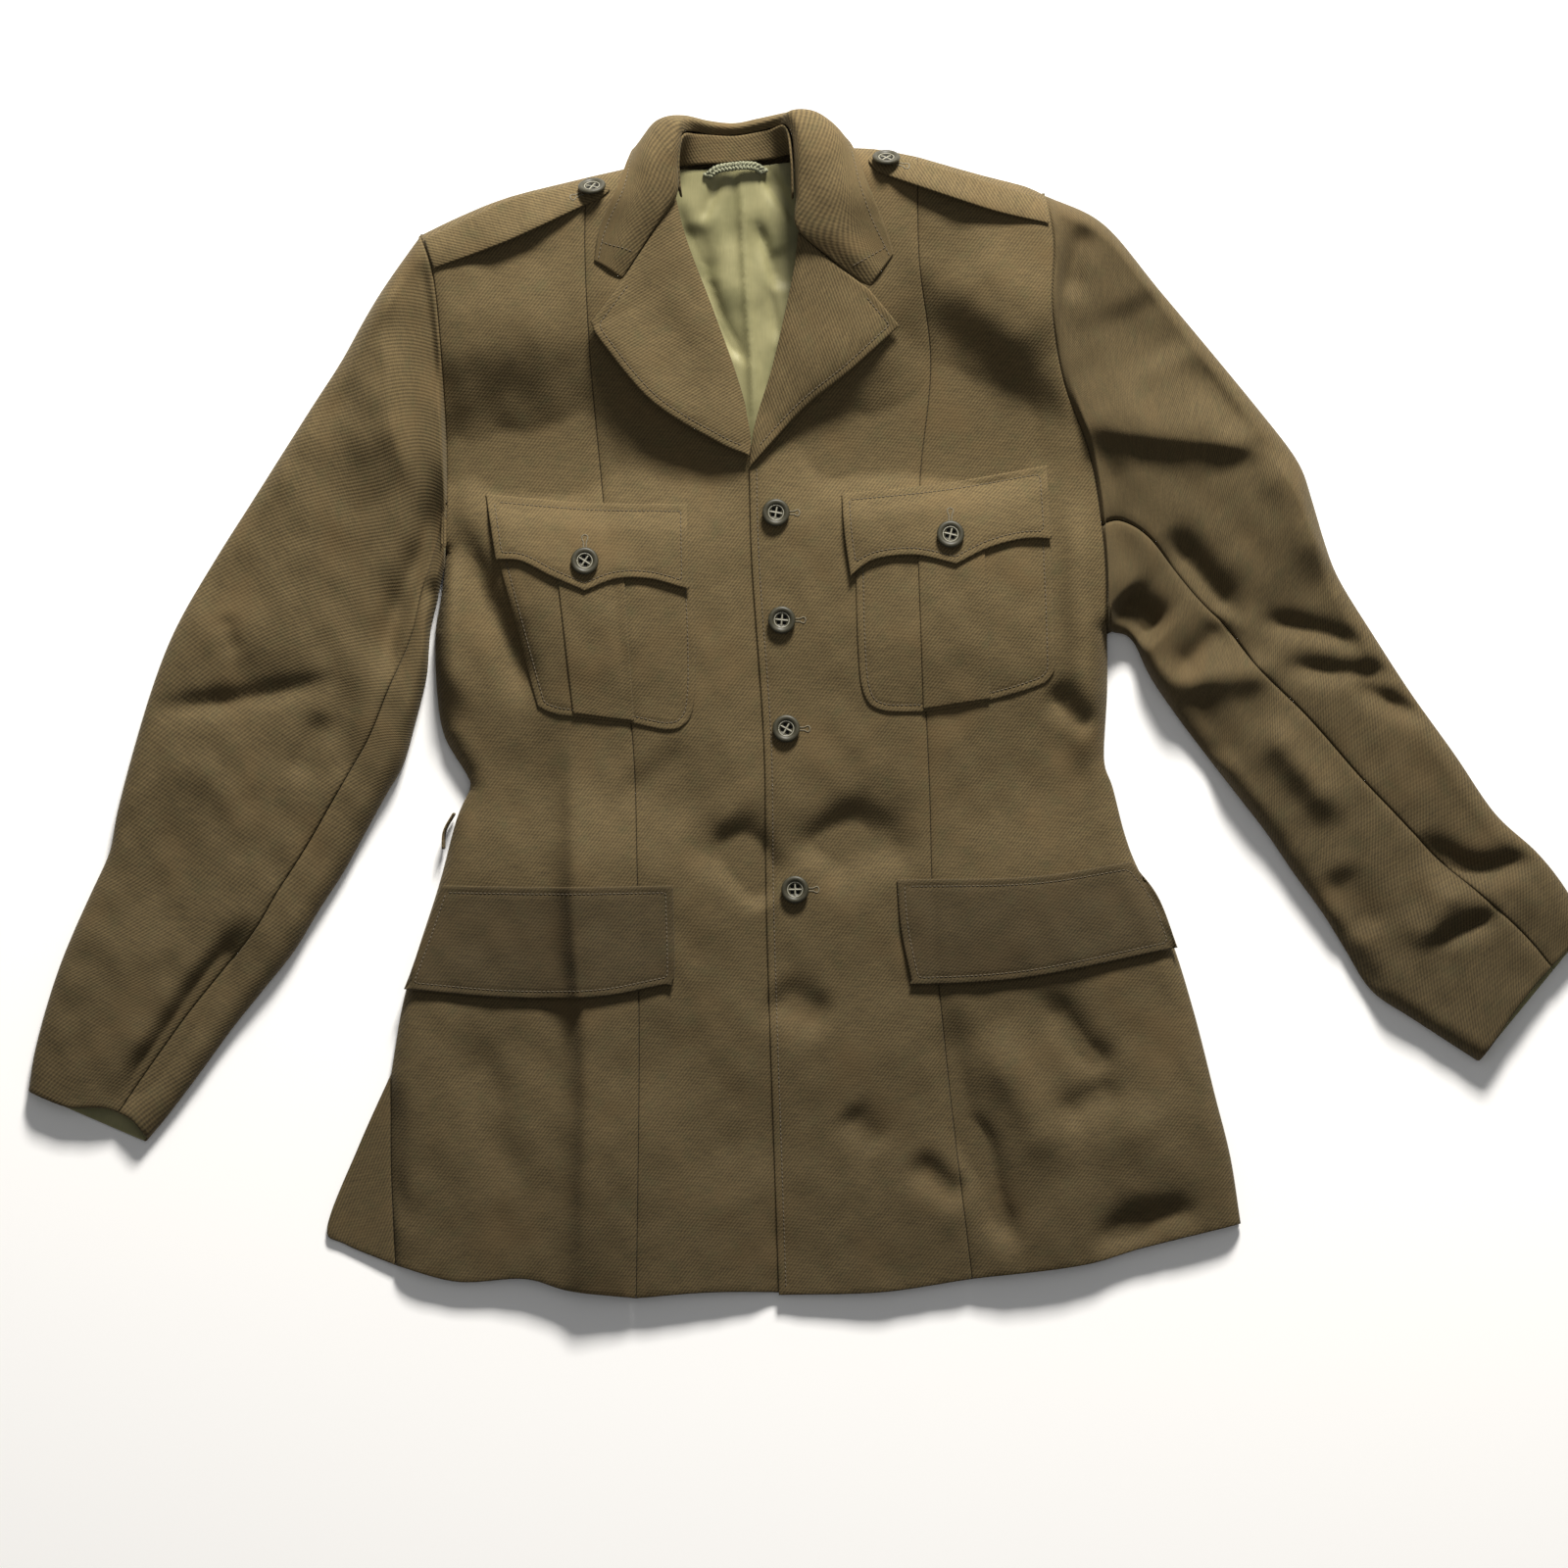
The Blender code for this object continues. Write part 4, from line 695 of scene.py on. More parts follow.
sewnOn = {
    "lapelLeft": {
        "node": "lapel_left", "stitched": (1, 2), "grain": 20,
        "edges": [
            [(-88, 341), (-107, 312)],
            [(-124, 285), (-135, 270)],
            [(-145, 257), (-138, 244), (-104, 204), (-60, 177)],
            [(-38.6, 168), (-37.6, 180), (-40, 194), (-44, 212), (-61, 261), (-80, 311)],
        ],
    },
    "lapelRight": {
        "node": "lapel_right", "stitched": (1, 2), "grain": -58,
        "edges": [
            [(-6, 318), (17, 298)],
            [(42, 279)],
            [(62, 255), (29, 225), (-3, 199)],
            [(-39, 160), (-35, 190), (-23, 230), (-10, 288)],
        ],
    },
    "chestPocketLeft": {
        "node": "chest_pocket_left", "stitched": (0, 1), "grain": 0,
        "edges": [
            [(-211, 112), (-184, 11), (-179, -1)],
            [(-168, -6), (-121, -11), (-95, -16), (-82, -12), (-76, 2), (-75, 40)],
            [(-78, 112)],
        ],
    },
    "chestPocketRight": {
        "node": "chest_pocket_right", "stitched": (0, 1), "grain": 0,
        "edges": [
            [(32, 116), (34, 40), (38, 8), (50, -3)],
            [(77, -4), (110, 1), (148, 11), (164, 20), (166, 40)],
            [(163, 118)],
        ],
    },
    "pocketPleatLeft": {
        "node": "pocket_pleat_left", "stitched": (), "grain": 6,
        "edges": [
            [(-170, 110)],
            [(-157, -5)],
            [(-116, -10)],
            [(-124, 110)],
        ],
    },
    "pocketPleatRight": {
        "node": "pocket_pleat_right", "stitched": (), "grain": 2,
        "edges": [
            [(74, 112)],
            [(78, -2)],
            [(123, 5)],
            [(119, 112)],
        ],
    },
    "chestFlapLeft": {
        "node": "chest_flap_left", "stitched": (0, 1, 2, 3, 4), "grain": 0,
        "edges": [
            [(-216, 143)],
            [(-209, 98), (-192, 97), (-172, 87)],
            [(-149, 77), (-128, 85), (-105, 85)],
            [(-79, 78)],
            [(-80, 136), (-145, 137)],
        ],
    },
    "chestFlapRight": {
        "node": "chest_flap_right", "stitched": (0, 1, 2, 3, 4), "grain": 6,
        "edges": [
            [(23, 143), (25, 115)],
            [(29, 87), (45, 98), (72, 101)],
            [(100, 95), (122, 106), (145, 112)],
            [(164, 112)],
            [(161, 162), (90, 150)],
        ],
    },
    "hipFlapLeft": {
        "node": "hip_flap_left", "stitched": (0, 1, 2, 3), "grain": 0,
        "edges": [
            [(-246, -120), (-257, -152)],
            [(-271, -190), (-200, -196), (-140, -195)],
            [(-95, -187), (-89, -182)],
            [(-90, -120), (-170, -121)],
        ],
    },
    "hipFlapRight": {
        "node": "hip_flap_right", "stitched": (0, 1, 2, 3), "grain": 4,
        "edges": [
            [(60, -116), (63, -150)],
            [(70, -184), (76, -187), (150, -182)],
            [(249, -162), (236, -128)],
            [(218, -104), (150, -114)],
        ],
    },
    "strapLeft": {
        "node": "strap_left", "stitched": (), "grain": 66,
        "edges": [
            [(-257, 314)],
            [(-250, 293), (-200, 311), (-152, 334)],
            [(-139, 340), (-132, 347)],
            [(-138, 354), (-174, 346), (-200, 339)],
        ],
    },
    "strapRight": {
        "node": "strap_right", "stitched": (), "grain": -70,
        "edges": [
            [(158, 341)],
            [(162, 323), (122, 332), (68, 350)],
            [(47, 358), (41, 366)],
            [(46, 371), (74, 365), (116, 353)],
        ],
    },
}
for spec in sewnOn.values():
    spec["edges"] = linked(spec["edges"])
loft = {"chestFlap": 0.3, "hipFlap": 2.0, "lapelRoll": 2.2, "lapelEdgeLeft": 9.0, "lapelEdgeRight": 5.0,
        "strapArch": 3.6, "strapFront": 4.4}


def heldAt(points, profile):
    line = curve(points, 6.0)
    return lambda x, y: profile(distance(x, y, line))


def chestHang(reach):
    # over the pocket and its pleat
    plies = 2 * (cloth["pocket"] + cloth["plyGap"])
    return plies * softStep(reach, 2, 20) + loft["chestFlap"] * softStep(reach, 20, 60)


def hipHang(reach):
    return loft["hipFlap"] * softStep(reach, 2, 60)


def lapelLift(side):
    roll = curve(seams["roll" + side], 6.0)
    free = curve(sewnOn["lapel" + side]["edges"][2], 6.0)

    def lift(x, y):
        reach = distance(x, y, roll)
        gap, share = along(x, y, free)
        edge = np.exp(-((gap / 26) ** 2)) * np.sin(math.pi * np.clip(share, 0.02, 0.98)) ** 0.6
        return loft["lapelRoll"] * np.exp(-((reach - 16) / 14) ** 2) + 1.6 * softStep(reach, 30, 75) \
            + loft["lapelEdge" + side] * edge

    return lift


def strapLift(side):
    held = curve(sewnOn["strap" + side]["edges"][0], 6.0)
    front = curve(sewnOn["strap" + side]["edges"][1], 6.0)

    def lift(x, y):
        share = np.clip(distance(x, y, held) / 125, 0, 1)
        arch = np.sin(math.pi * share) ** 2
        return arch * (loft["strapArch"] + loft["strapFront"] * np.exp(-((distance(x, y, front) / 9) ** 2)))

    return lift


tops = {"front": bodyTop}       # the height of what a button is sewn on


def lay(name, carrier, thickness, lift=None, shade=None, roll=1.3, finish=None):
    spec = sewnOn[name]
    rim = closedLine(spec["edges"], 2.6)

    def bottom(x, y):
        raised = lift(x, y) if lift else 0
        return carrier(x, y) + (cloth["plyGap"] + raised) * bodySteepness(x, y)

    def top(x, y):
        height = bottom(x, y) + thickness * bodySteepness(x, y)
        return height - shade(x, y) if shade else height

    surface, lines = top, []
    if spec["stitched"]:
        edges = [spec["edges"][i] for i in spec["stitched"]]
        seam = insetEdges(edges, rim, cloth["stitchInset"])
        lines = [seam] + [insetEdges(edges, rim, cloth["stitchInset"] + k) for k in (-1.2, 1.2)]
        surface = grooved(top, seam)
        sew(seam, top)
    cutCloth(name + "Cloth", spec["node"], rim, surface, thickness, bottom, finish, step=meshSize["small"],
             lines=lines, grain=math.radians(spec["grain"]), roll=roll)
    tops[name] = surface
    return top


def makeSewnOn():
    for side in ("Left", "Right"):
        pocket = lay("chestPocket" + side, bodyTop, cloth["pocket"])
        lay("pocketPleat" + side, pocket, cloth["pocket"])
        for flap, hang in (("chestFlap", chestHang), ("hipFlap", hipHang)):
            # the hip flaps get the twill darkened as painted shade
            lay(flap + side, bodyTop, cloth["flap"], heldAt(sewnOn[flap + side]["edges"][-1], hang),
                finish=paintedShadeFlapTwill if flap == "hipFlap" else None)
        lay("strap" + side, bodyTop, cloth["flap"], strapLift(side))
        roll = curve(seams["roll" + side], 6.0)
        lay("lapel" + side, bodyTop, cloth["flap"], lapelLift(side),
            shade=lambda x, y, roll=roll: 3.2 * (1 - rounded(distance(x, y, roll), 7.0)))
    print("pieces sewn on:", len(tops) - 1)


# The lining

lining = {
    "edges": [
        [(-118, 300), (-108, 350)],
        [(-95, 361), (-49, 362)],
        [(-3, 367), (12, 340), (20, 280), (0, 190)],
        [(-30, 130), (-75, 190)],
    ],
    "folds": readFolds([
        (1.8, 3.5, 5, 1.3, [(755, 150), (757, 200), (762, 300), (768, 380), (770, 470)]),
        (-2.0, 3.0, 3.5, 1.5, [(776, 176), (795, 203), (814, 232)]),
        (-1.3, 3.0, 3.0, 1.5, [(782, 166), (812, 222)]),
        (-2.2, 3.0, 4.0, 1.5, [(770, 222), (784, 262), (795, 300)]),
        (-2.6, 3.0, 5.0, 1.5, [(716, 262), (728, 310), (745, 350), (768, 376)]),
        (-1.4, 4.0, 3.0, 1.6, [(735, 176), (728, 200), (714, 232)]),
        (-1.2, 4.0, 4.0, 1.8, [(688, 200), (702, 250), (720, 305)]),
        (-1.1, 3.0, 3.0, 1.6, [(782, 285), (790, 320), (795, 356)]),
        (1.5, 9.0, 9.0, 2.0, [(715, 205), (735, 260), (752, 330)]),
        (1.4, 8.0, 8.0, 2.0, [(795, 190), (785, 260), (780, 330)]),
        (-1.5, 8.0, 8.0, 2.0, [(706, 225), (716, 262), (722, 290)]),
        (-1.5, 7.0, 7.0, 2.0, [(792, 250), (802, 272), (806, 300)]),
    ]),
}


def liningTop(x, y):
    pleat = 0.9 * softStep(x - 0.06 * (300 - y), -46, -42)
    flat = backTop(x, y) + cloth["plyGap"] + cloth["lining"]
    return flat + np.maximum(3.6 + pleat + relief(x, y, lining["folds"]) + 0.4 * ripple(x, y, liningWaves), 0.4)


def makeLiningPiece():
    cutCloth("backLining", "lining_back", closedLine(linked(lining["edges"])), liningTop, cloth["lining"],
             lambda x, y: backTop(x, y) + 0.2, satin, "lining", meshSize["lining"],
             creaseLines(lining["folds"], 1.55, 2.4))
    print("lining made")


# The sleeves: a ring of turns at each place along, the outer folded edge at 0, the inner one at half a turn

sleeves = {
    "Left": {
        "sections": [  # outer x, y, inner x, y, height, share of the way across where the front seam lies
            (-260, 317, -243, 104, 30, 0.85), (-289, 275, -250, 74, 26, 0.86), (-324, 215, -256, 34, 24, 0.86),
            (-362, 157, -264, -6, 21, 0.84), (-405, 88, -270, -33, 19, 0.84), (-443, 5, -290, -72, 18, 0.83),
            (-465, -72, -325, -132, 17, 0.80), (-487, -137, -366, -191, 16, 0.77),
            (-507, -190, -402, -238, 15, 0.74), (-524, -259, -445, -293, 13, 0.70),
        ],
        "outerEdge": [(430, 240), (404, 264), (385, 305), (364, 348), (332, 395), (297, 450), (259, 510), (221, 570),
                      (183, 635), (160, 690), (137, 765), (120, 830), (113, 868), (95, 908), (76, 950),
                      (60, 990), (45, 1038), (35, 1078), (29, 1113)],
        "innerEdge": [(440, 648), (436, 690), (425, 735), (412, 780), (395, 810), (373, 850), (351, 890),
                      (325, 930), (301, 970), (269, 1010), (237, 1050), (208, 1090), (178, 1130), (149, 1167)],
        "folds": readFolds([
            (4.5, 28, 8, 1.5, [(410, 250), (390, 339), (395, 379), (401, 445), (420, 510)]),
            (-6, 9, 9, 1.6, [(452, 470), (440, 540), (418, 594), (401, 638), (392, 715)]),
            (-2.5, 6, 6, 1.5, [(440, 585), (446, 625), (452, 665)]),
            (-3, 8, 6, 1.5, [(145, 724), (230, 715), (280, 706), (356, 690)]),
            (-1.5, 6, 6, 1.6, [(230, 625), (241, 672)]),
            (-2, 8, 8, 1.8, [(354, 685), (350, 812)]),
            (-2, 8, 8, 1.8, [(334, 724), (302, 800)]),
            (-9, 10, 9, 1.5, [(262, 930), (195, 1029), (118, 1140)]),
            (3, 10, 10, 1.8, [(248, 935), (178, 1025), (112, 1120)]),
            (-3, 26, 26, 2.0, [(300, 480), (250, 560), (215, 650)]),
            (3, 24, 24, 2.0, [(330, 470), (290, 580), (250, 700)]),
            (-2.5, 20, 20, 2.0, [(200, 780), (170, 880), (140, 980)]),
            (-3, 14, 14, 2.0, [(385, 300), (350, 380), (330, 460)]),
        ]),
        # the twill of this sleeve is darkened slightly as painted shade
        "cuffPull": 10.0, "pullAt": 0.70, "pullWidth": 0.26, "outward": -1, "finish": paintedShadeLeftSleeveTwill,
    },
    "Right": {
        "sections": [
            (160, 344, 202, 50, 30, 0.76), (200, 324, 208, 50, 27, 0.73), (240, 276, 216, 46, 25, 0.70),
            (285, 222, 228, 28, 23, 0.67), (328, 169, 243, 1, 22, 0.64), (350, 108, 262, -24, 21, 0.58),
            (382, 47, 289, -59, 20, 0.50), (422, -12, 318, -98, 18, 0.45), (460, -68, 346, -138, 17, 0.38),
            (500, -108, 385, -194, 16, 0.32), (524, -151, 452, -239, 14, 0.30),
        ],
        "outerEdge": [(1066, 200), (1100, 208), (1145, 250), (1211, 330), (1277, 410), (1323, 470), (1338, 510),
                      (1350, 550), (1365, 590), (1402, 650), (1441, 710), (1484, 770), (1525, 830), (1568, 870),
                      (1599, 910), (1618, 950)],
        "innerEdge": [(1130, 640), (1153, 650), (1173, 690), (1200, 730), (1230, 770), (1261, 810), (1292, 850),
                      (1319, 890), (1348, 930), (1373, 970), (1399, 1011), (1439, 1038), (1508, 1083)],
        "folds": readFolds([
            (-3, 7, 7, 1.8, [(1106, 225), (1088, 312)]),
            (5, 8, 22, 1.5, [(1085, 430), (1169, 445), (1239, 452), (1310, 463)]),
            (5, 22, 7, 1.4, [(1280, 452), (1315, 501), (1334, 546), (1362, 592)]),
            (-3, 10, 8, 1.7, [(1210, 362), (1275, 455)]),
            (-6, 9, 9, 1.5, [(1185, 538), (1225, 588), (1270, 640)]),
            (-8, 12, 12, 1.6, [(1138, 608), (1185, 652)]),
            (-5, 10, 10, 1.6, [(1258, 630), (1195, 695)]),
            (3.5, 10, 10, 1.7, [(1195, 698), (1310, 684)]),
            (5, 11, 11, 1.6, [(1280, 728), (1316, 772), (1372, 842)]),
            (-4, 7, 7, 1.5, [(1275, 632), (1339, 643), (1402, 664)]),
            (-4, 7, 7, 1.5, [(1300, 678), (1365, 686), (1436, 684)]),
            (-4, 7, 7, 1.5, [(1372, 696), (1460, 735)]),
            (-5, 8, 8, 1.5, [(1440, 848), (1498, 886), (1580, 872)]),
            (4, 10, 10, 1.5, [(1485, 895), (1452, 975)]),
            (-4, 6, 6, 1.5, [(1446, 968), (1535, 930)]),
            (-4, 14, 14, 2.0, [(1210, 690), (1238, 795)]),
            (-3, 10, 10, 1.8, [(1345, 938), (1410, 1022)]),
            (-3, 12, 12, 2.0, [(1360, 880), (1400, 960)]),
            (-2.5, 24, 24, 2.0, [(1150, 300), (1190, 380)]),
            (-2.5, 10, 10, 1.8, [(1115, 420), (1135, 520), (1150, 600)]),
        ]),
        # the twill of this sleeve is darkened as painted shade
        "cuffPull": 3.0, "pullAt": 0.45, "pullWidth": 0.34, "outward": 1, "finish": paintedShadeRightSleeveTwill,
    },
}
sleeveForm = {"roll": 13.0, "underRoll": 6.0, "widest": 4.5, "hindSeam": 0.3, "rows": 190, "head": 14.0,
              "gap": 0.0032, "endRows": [0.0012, 0.0026, 0.0040, 0.9985],
              "tuck": [(2.6, 2.2), (2.2, 0.9), (1.1, 0.2), (0.3, 0.0)]}     # drop and reach of the first rows


def sleeveSurface(side, s, turn):
    # places on the sleeve at shares of its length and turns round it
    spec = sleeves[side]
    rows = [(i, *row) for i, row in enumerate(spec["sections"])]
    read = lambda share, column: softTable(share * (len(rows) - 1), rows, column)
    grid = np.linspace(0, 1, 400)
    ends = []
    for columns, edge in (((1, 2), "outerEdge"), ((3, 4), "innerEdge")):
        line = np.stack([read(grid, c) for c in columns], 1)
        fine = curve(onCloth(spec[edge]), 1.0)
        near = np.array([fine[np.hypot(*(fine - p).T).argmin()] for p in line])
        kernel = np.ones(9) / 9
        shift = (near - line) * (softStep(grid, 0.14, 0.26) * (1 - softStep(grid, 0.97, 1.0)))[:, None]
        if edge == "innerEdge":
            shift[:, 0] -= spec["outward"] * 1.8 * softStep(grid, 0.0, 0.04) * (1 - softStep(grid, 0.12, 0.18))
        shift = np.stack([np.convolve(np.pad(shift[:, i], 4, mode="edge"), kernel, "valid") for i in (0, 1)], 1)
        ends.append(line + shift)
    lengthAlong = np.hypot(*np.diff((ends[0] + ends[1]) / 2, axis=0).T).sum()
    share = (1 - np.cos(turn)) / 2
    pulled = spec["cuffPull"] * np.exp(-np.abs((share - spec["pullAt"]) / spec["pullWidth"]) ** 2.5)
    s = s - np.where(turn >= 0, pulled, 0) / lengthAlong * softStep(s, 0.8, 1.0)
    outer, inner = (np.stack([np.interp(s, grid, end[:, i]) for i in (0, 1)], -1) for end in ends)
    width = np.hypot(*np.moveaxis(inner - outer, -1, 0))
    height = read(s, 5)
    armhole = seams["armhole" + side]
    first = spec["sections"][0]
    straight = np.array(first[:2]) + (np.array(first[2:4]) - np.array(first[:2])) * share[..., None]
    bend = 1 - softStep(s * 21, 0, 8)
    place = outer + (inner - outer) * share[..., None] + (onArmhole(armhole, share) - straight) * bend[..., None]
    x, y = place[..., 0], place[..., 1]
    depth = np.minimum(share, 1 - share) * width
    form = height + relief(x, y, spec["folds"]) + ripple(x, y, clothWaves) + 1.4 * ripple(x, y, fineWaves)
    widest = sleeveForm["widest"]
    over = widest + np.maximum(form - widest, 3) * rounded(depth, sleeveForm["roll"])
    seam = np.abs(share - read(s, 6)) * width
    over = over - 0.8 * np.exp(-((seam / 4.0) ** 2))
    atBody = bodyTop(*onArmhole(armhole, share).reshape(-1, 2).T).reshape(np.shape(share))
    head = softStep(s * lengthAlong, 0, sleeveForm["head"])
    over = over * head + atBody * (1 - head)
    under = widest * (1 - rounded(depth, sleeveForm["underRoll"]))
    return np.stack([x, y, np.where(turn < 0, under, over)], -1), lengthAlong, width


def thickGrid(name, outer, thickness, weave, finishes, slot, nodes, flip=1, innerFinish=0):
    # a wall behind a grid of points, with softened edges
    rows, columns = outer.shape[:2]
    normal = np.cross(np.gradient(outer, axis=0), np.gradient(outer, axis=1)) * flip
    normal /= np.maximum(np.linalg.norm(normal, axis=2), 1e-9)[:, :, None]
    thickness = np.asarray(thickness) * np.ones((rows, columns))
    inner = outer - normal * thickness[:, :, None]
    inner[..., 2] = np.maximum(inner[..., 2], 0.3)
    outer, soft = outer.copy(), normal * thickness[:, :, None]
    for edge in ((slice(None), 0), (slice(None), -1), (0, slice(None)), (-1, slice(None))):
        outer[edge] -= 0.35 * soft[edge]
        inner[edge] += 0.2 * soft[edge]
    count = rows * columns
    index = np.arange(count).reshape(rows, columns)
    a, b, c, d = index[:-1, :-1], index[:-1, 1:], index[1:, 1:], index[1:, :-1]
    front = np.stack([a, b, c, d], -1).reshape(-1, 4)
    border = np.concatenate([index[0, :-1], index[:-1, -1], index[-1, :0:-1], index[:0:-1, 0]])
    after = np.roll(border, -1)
    rim = np.stack([border, border + count, after + count, after], -1)
    faces = np.vstack([front, front[:, ::-1] + count, rim])
    if flip > 0:
        faces = faces[:, ::-1]
    within = np.repeat(np.arange(rows - 1) >= 10, columns - 1)      # past the first rows
    which = np.concatenate([np.zeros(len(front), int), within * innerFinish,
                            np.zeros(len(rim), int)])
    points = np.vstack([outer.reshape(-1, 3), inner.reshape(-1, 3)])
    return makePiece(name, points, faces[:, ::-1].tolist(), np.vstack([weave, weave]), finishes, slot, nodes, which)


def makeSleeves():
    for side, spec in sleeves.items():
        rows = np.unique(np.concatenate([np.linspace(0, 1, sleeveForm["rows"]), sleeveForm["endRows"]]))
        hind = math.acos(1 - 2 * sleeveForm["hindSeam"])
        table = [(i, *row) for i, row in enumerate(spec["sections"])]
        seam = np.arccos(1 - 2 * softTable(rows * (len(table) - 1), table, 6))
        for name, node in (("sleeveTop", "sleeve_top_"), ("sleeveUnder", "sleeve_under_")):
            gap = sleeveForm["gap"]
            if name == "sleeveTop":
                shares = np.concatenate([[0, 0.012], np.linspace(0.03, 1, 74)])
                turns = [np.concatenate([(t - gap) * (1 - shares), np.linspace(0, gap - hind, 18)[1:]]) for t in seam]
            else:
                shares = np.concatenate([[0, 0.02], np.linspace(0.05, 1, 40)])
                turns = [np.concatenate([t + gap + (math.pi - t - gap) * shares,
                                         np.linspace(-math.pi, -gap - hind, 30)[1:]]) for t in seam]
            turns = np.array(turns)
            s = np.repeat(rows[:, None], turns.shape[1], axis=1)
            points, length, width = sleeveSurface(side, s, turns)
            above = turns[0] >= 0
            for row, (drop, reach) in enumerate(sleeveForm["tuck"]):
                points[row, above, 2] = np.maximum(points[row, above, 2] - drop, 2.6)
                points[row, above, 0] -= spec["outward"] * reach
            for row in range(5):
                points[row, ~above, 0] += spec["outward"] * 1.2 * (1 - row / 5)
            run = (1 - np.cos(turns)) / 2 * width
            u = run if side == "Left" else -run
            weave = np.stack([u, -s * length], -1).reshape(-1, 2)
            flip = (-1 if side == "Left" else 1) * (1 if name == "sleeveTop" else -1)
            thickGrid(name + side + "Cloth", points, cloth["shell"], weave, [spec["finish"], satin], "cloth",
                      (node + side.lower(),), flip, 1)
    print("sleeves made")


# The collar and its stand

collar = {
    "cloth": 2.2, "standCloth": 1.6, "rows": 190, "columns": 30, "standHeight": 20, "stitchedAt": 3.62, "endRow": 8,
    "sections": [  # where it meets the stand or the lapel, the ridge, then three points across the fall
        ((-123.8, 287.6, 28.5), (-124.5, 287, 31), (-131, 291, 33), (-137, 295, 33), (-143, 298, 32)),
        ((-107, 313.4, 31), (-108, 313, 34), (-118, 316, 37), (-129, 318, 36), (-139, 321, 34)),
        ((-87.5, 341, 33), (-92, 340, 38), (-104, 342, 41), (-116, 345, 39), (-128, 347, 36)),
        ((-86.5, 364, 36), (-92, 362, 41), (-104, 364, 41), (-114, 366, 33), (-121, 367, 22)),
        ((-85, 374, 35), (-91, 376, 41), (-103, 380, 34), (-111, 381, 22), (-116, 375, 9)),
        ((-83, 384, 30), (-87, 391, 35), (-99, 394, 22), (-105, 388, 7), (-108, 364, 0)),
        ((-76, 386, 19), (-79, 394, 24), (-85, 397, 13), (-89, 388, 2), (-92, 352, 0)),
        ((-63, 384, 13), (-64, 390.5, 16.5), (-66, 393.5, 9), (-68, 384, 1), (-70, 347, 0)),
        ((-49, 384, 12), (-49, 389.5, 15), (-49, 392, 8), (-49, 382, 0.6), (-49, 346, 0)),
        ((-35, 386, 13), (-34, 392, 16.5), (-33, 395, 9), (-31, 385, 1), (-30, 347, 0)),
        ((-21, 389, 20), (-18, 396, 25), (-12, 399, 14), (-9, 391, 2), (-11, 352, 0)),
        ((-15, 390, 31), (-10, 398, 37), (3, 400, 23), (8, 396, 7), (9, 385, 0.4)),
        ((-10.5, 382, 37), (-4, 385, 43), (10, 391, 35), (19, 390, 22), (22, 384, 9)),
        ((-9, 367, 38), (-3, 368, 44), (12, 374, 42), (24, 377, 33), (31, 376, 22)),
        ((-8, 342, 36), (-4, 342, 41), (12, 346, 43), (27, 348, 41), (41, 350, 37)),
        ((-6.5, 320.6, 34), (-5, 320, 37), (14, 322, 40), (33, 325, 38), (50, 328, 35)),
        ((17, 299.2, 30.5), (18, 300, 33), (30, 304, 36), (43, 309, 35), (55, 314, 33)),
        ((42, 280.9, 27.5), (42.5, 281.5, 30), (48, 289, 33), (53, 296, 33), (58, 303, 32)),
    ],
    "stand": [  # neck seam, top
        ((-85, 341, 25), (-86, 346, 32)), ((-88, 352, 17), (-87, 366, 36)), ((-88, 363, 11), (-84, 383, 30)),
        ((-72, 364.5, 11), (-73, 384.5, 15)), ((-49, 365.5, 11), (-49, 383.4, 11.5)),
        ((-26, 368, 11), (-27, 387, 15)),
        ((-10, 371, 11), (-14, 389, 30)), ((-9, 356, 17), (-10, 368, 38)), ((-9, 340, 25), (-9, 343, 35)),
    ],
}


def gridWeave(rows, columns):
    return np.stack(np.broadcast_arrays(rows[:, None], columns[None, :]), -1).reshape(-1, 2)


def resampled(rows, places):
    numbered = [(i, *np.ravel(row)) for i, row in enumerate(rows)]
    return np.array([softTable(places, numbered, c) for c in range(1, len(numbered[0]))]).T


def makeCollar():
    sections = collar["sections"]
    places = np.linspace(0, len(sections) - 1, collar["rows"])
    places = np.unique(np.concatenate([places, [0.04, len(sections) - 1.04]]))
    rows = resampled(sections, places).reshape(-1, 5, 3)
    across = np.concatenate([np.linspace(0, 1.0, 7)[:-1], np.linspace(1.0, 4, collar["columns"] - 7), [3.93]])
    across = np.sort(across)
    outer = []
    for row in rows:
        knots = [(i, *point) for i, point in enumerate(row)]
        outer.append(np.stack([softTable(across, knots, c) for c in (1, 2, 3)], 1))
    outer = np.array(outer)
    x, y = outer[..., 0], outer[..., 1]
    outer[..., 2] += (0.5 * ripple(x, y, clothWaves) + ripple(x, y, fineWaves)) * softStep(across, 0.5, 1.5)
    outer[..., 2] = np.maximum(outer[..., 2], 0.2)
    thick = collar["cloth"] * (0.35 + 0.65 * softStep(across, 1.2, 2.2))
    weave = gridWeave(runAlong(rows[:, 2]), -runAlong(outer[collar["rows"] // 2]))
    # the underside of the fall gets the twill darkened as painted shade
    thickGrid("collarCloth", outer, thick[None, :], turned(weave, 0.6), [clothTwill, paintedShadeUnderTwill], "cloth",
              ("collar",), 1, 1)
    standPlaces = np.linspace(0, len(collar["stand"]) - 1, 120)
    stand = resampled(collar["stand"], standPlaces).reshape(-1, 2, 3)[::-1]
    share = np.linspace(0, 1, 16)
    grid = stand[:, :1] + (stand[:, 1:] - stand[:, :1]) * share[None, :, None]
    grid[..., 2] += 0.35 * ripple(grid[..., 0], grid[..., 1], fineWaves)
    weave = gridWeave(runAlong(stand[:, 0]), collar["standHeight"] * share)
    thickGrid("collarStandCloth", grid, collar["standCloth"], weave, [clothTwill, clothTwill], "cloth",
              ("collar_stand",), 1, 1)
    return outer, across


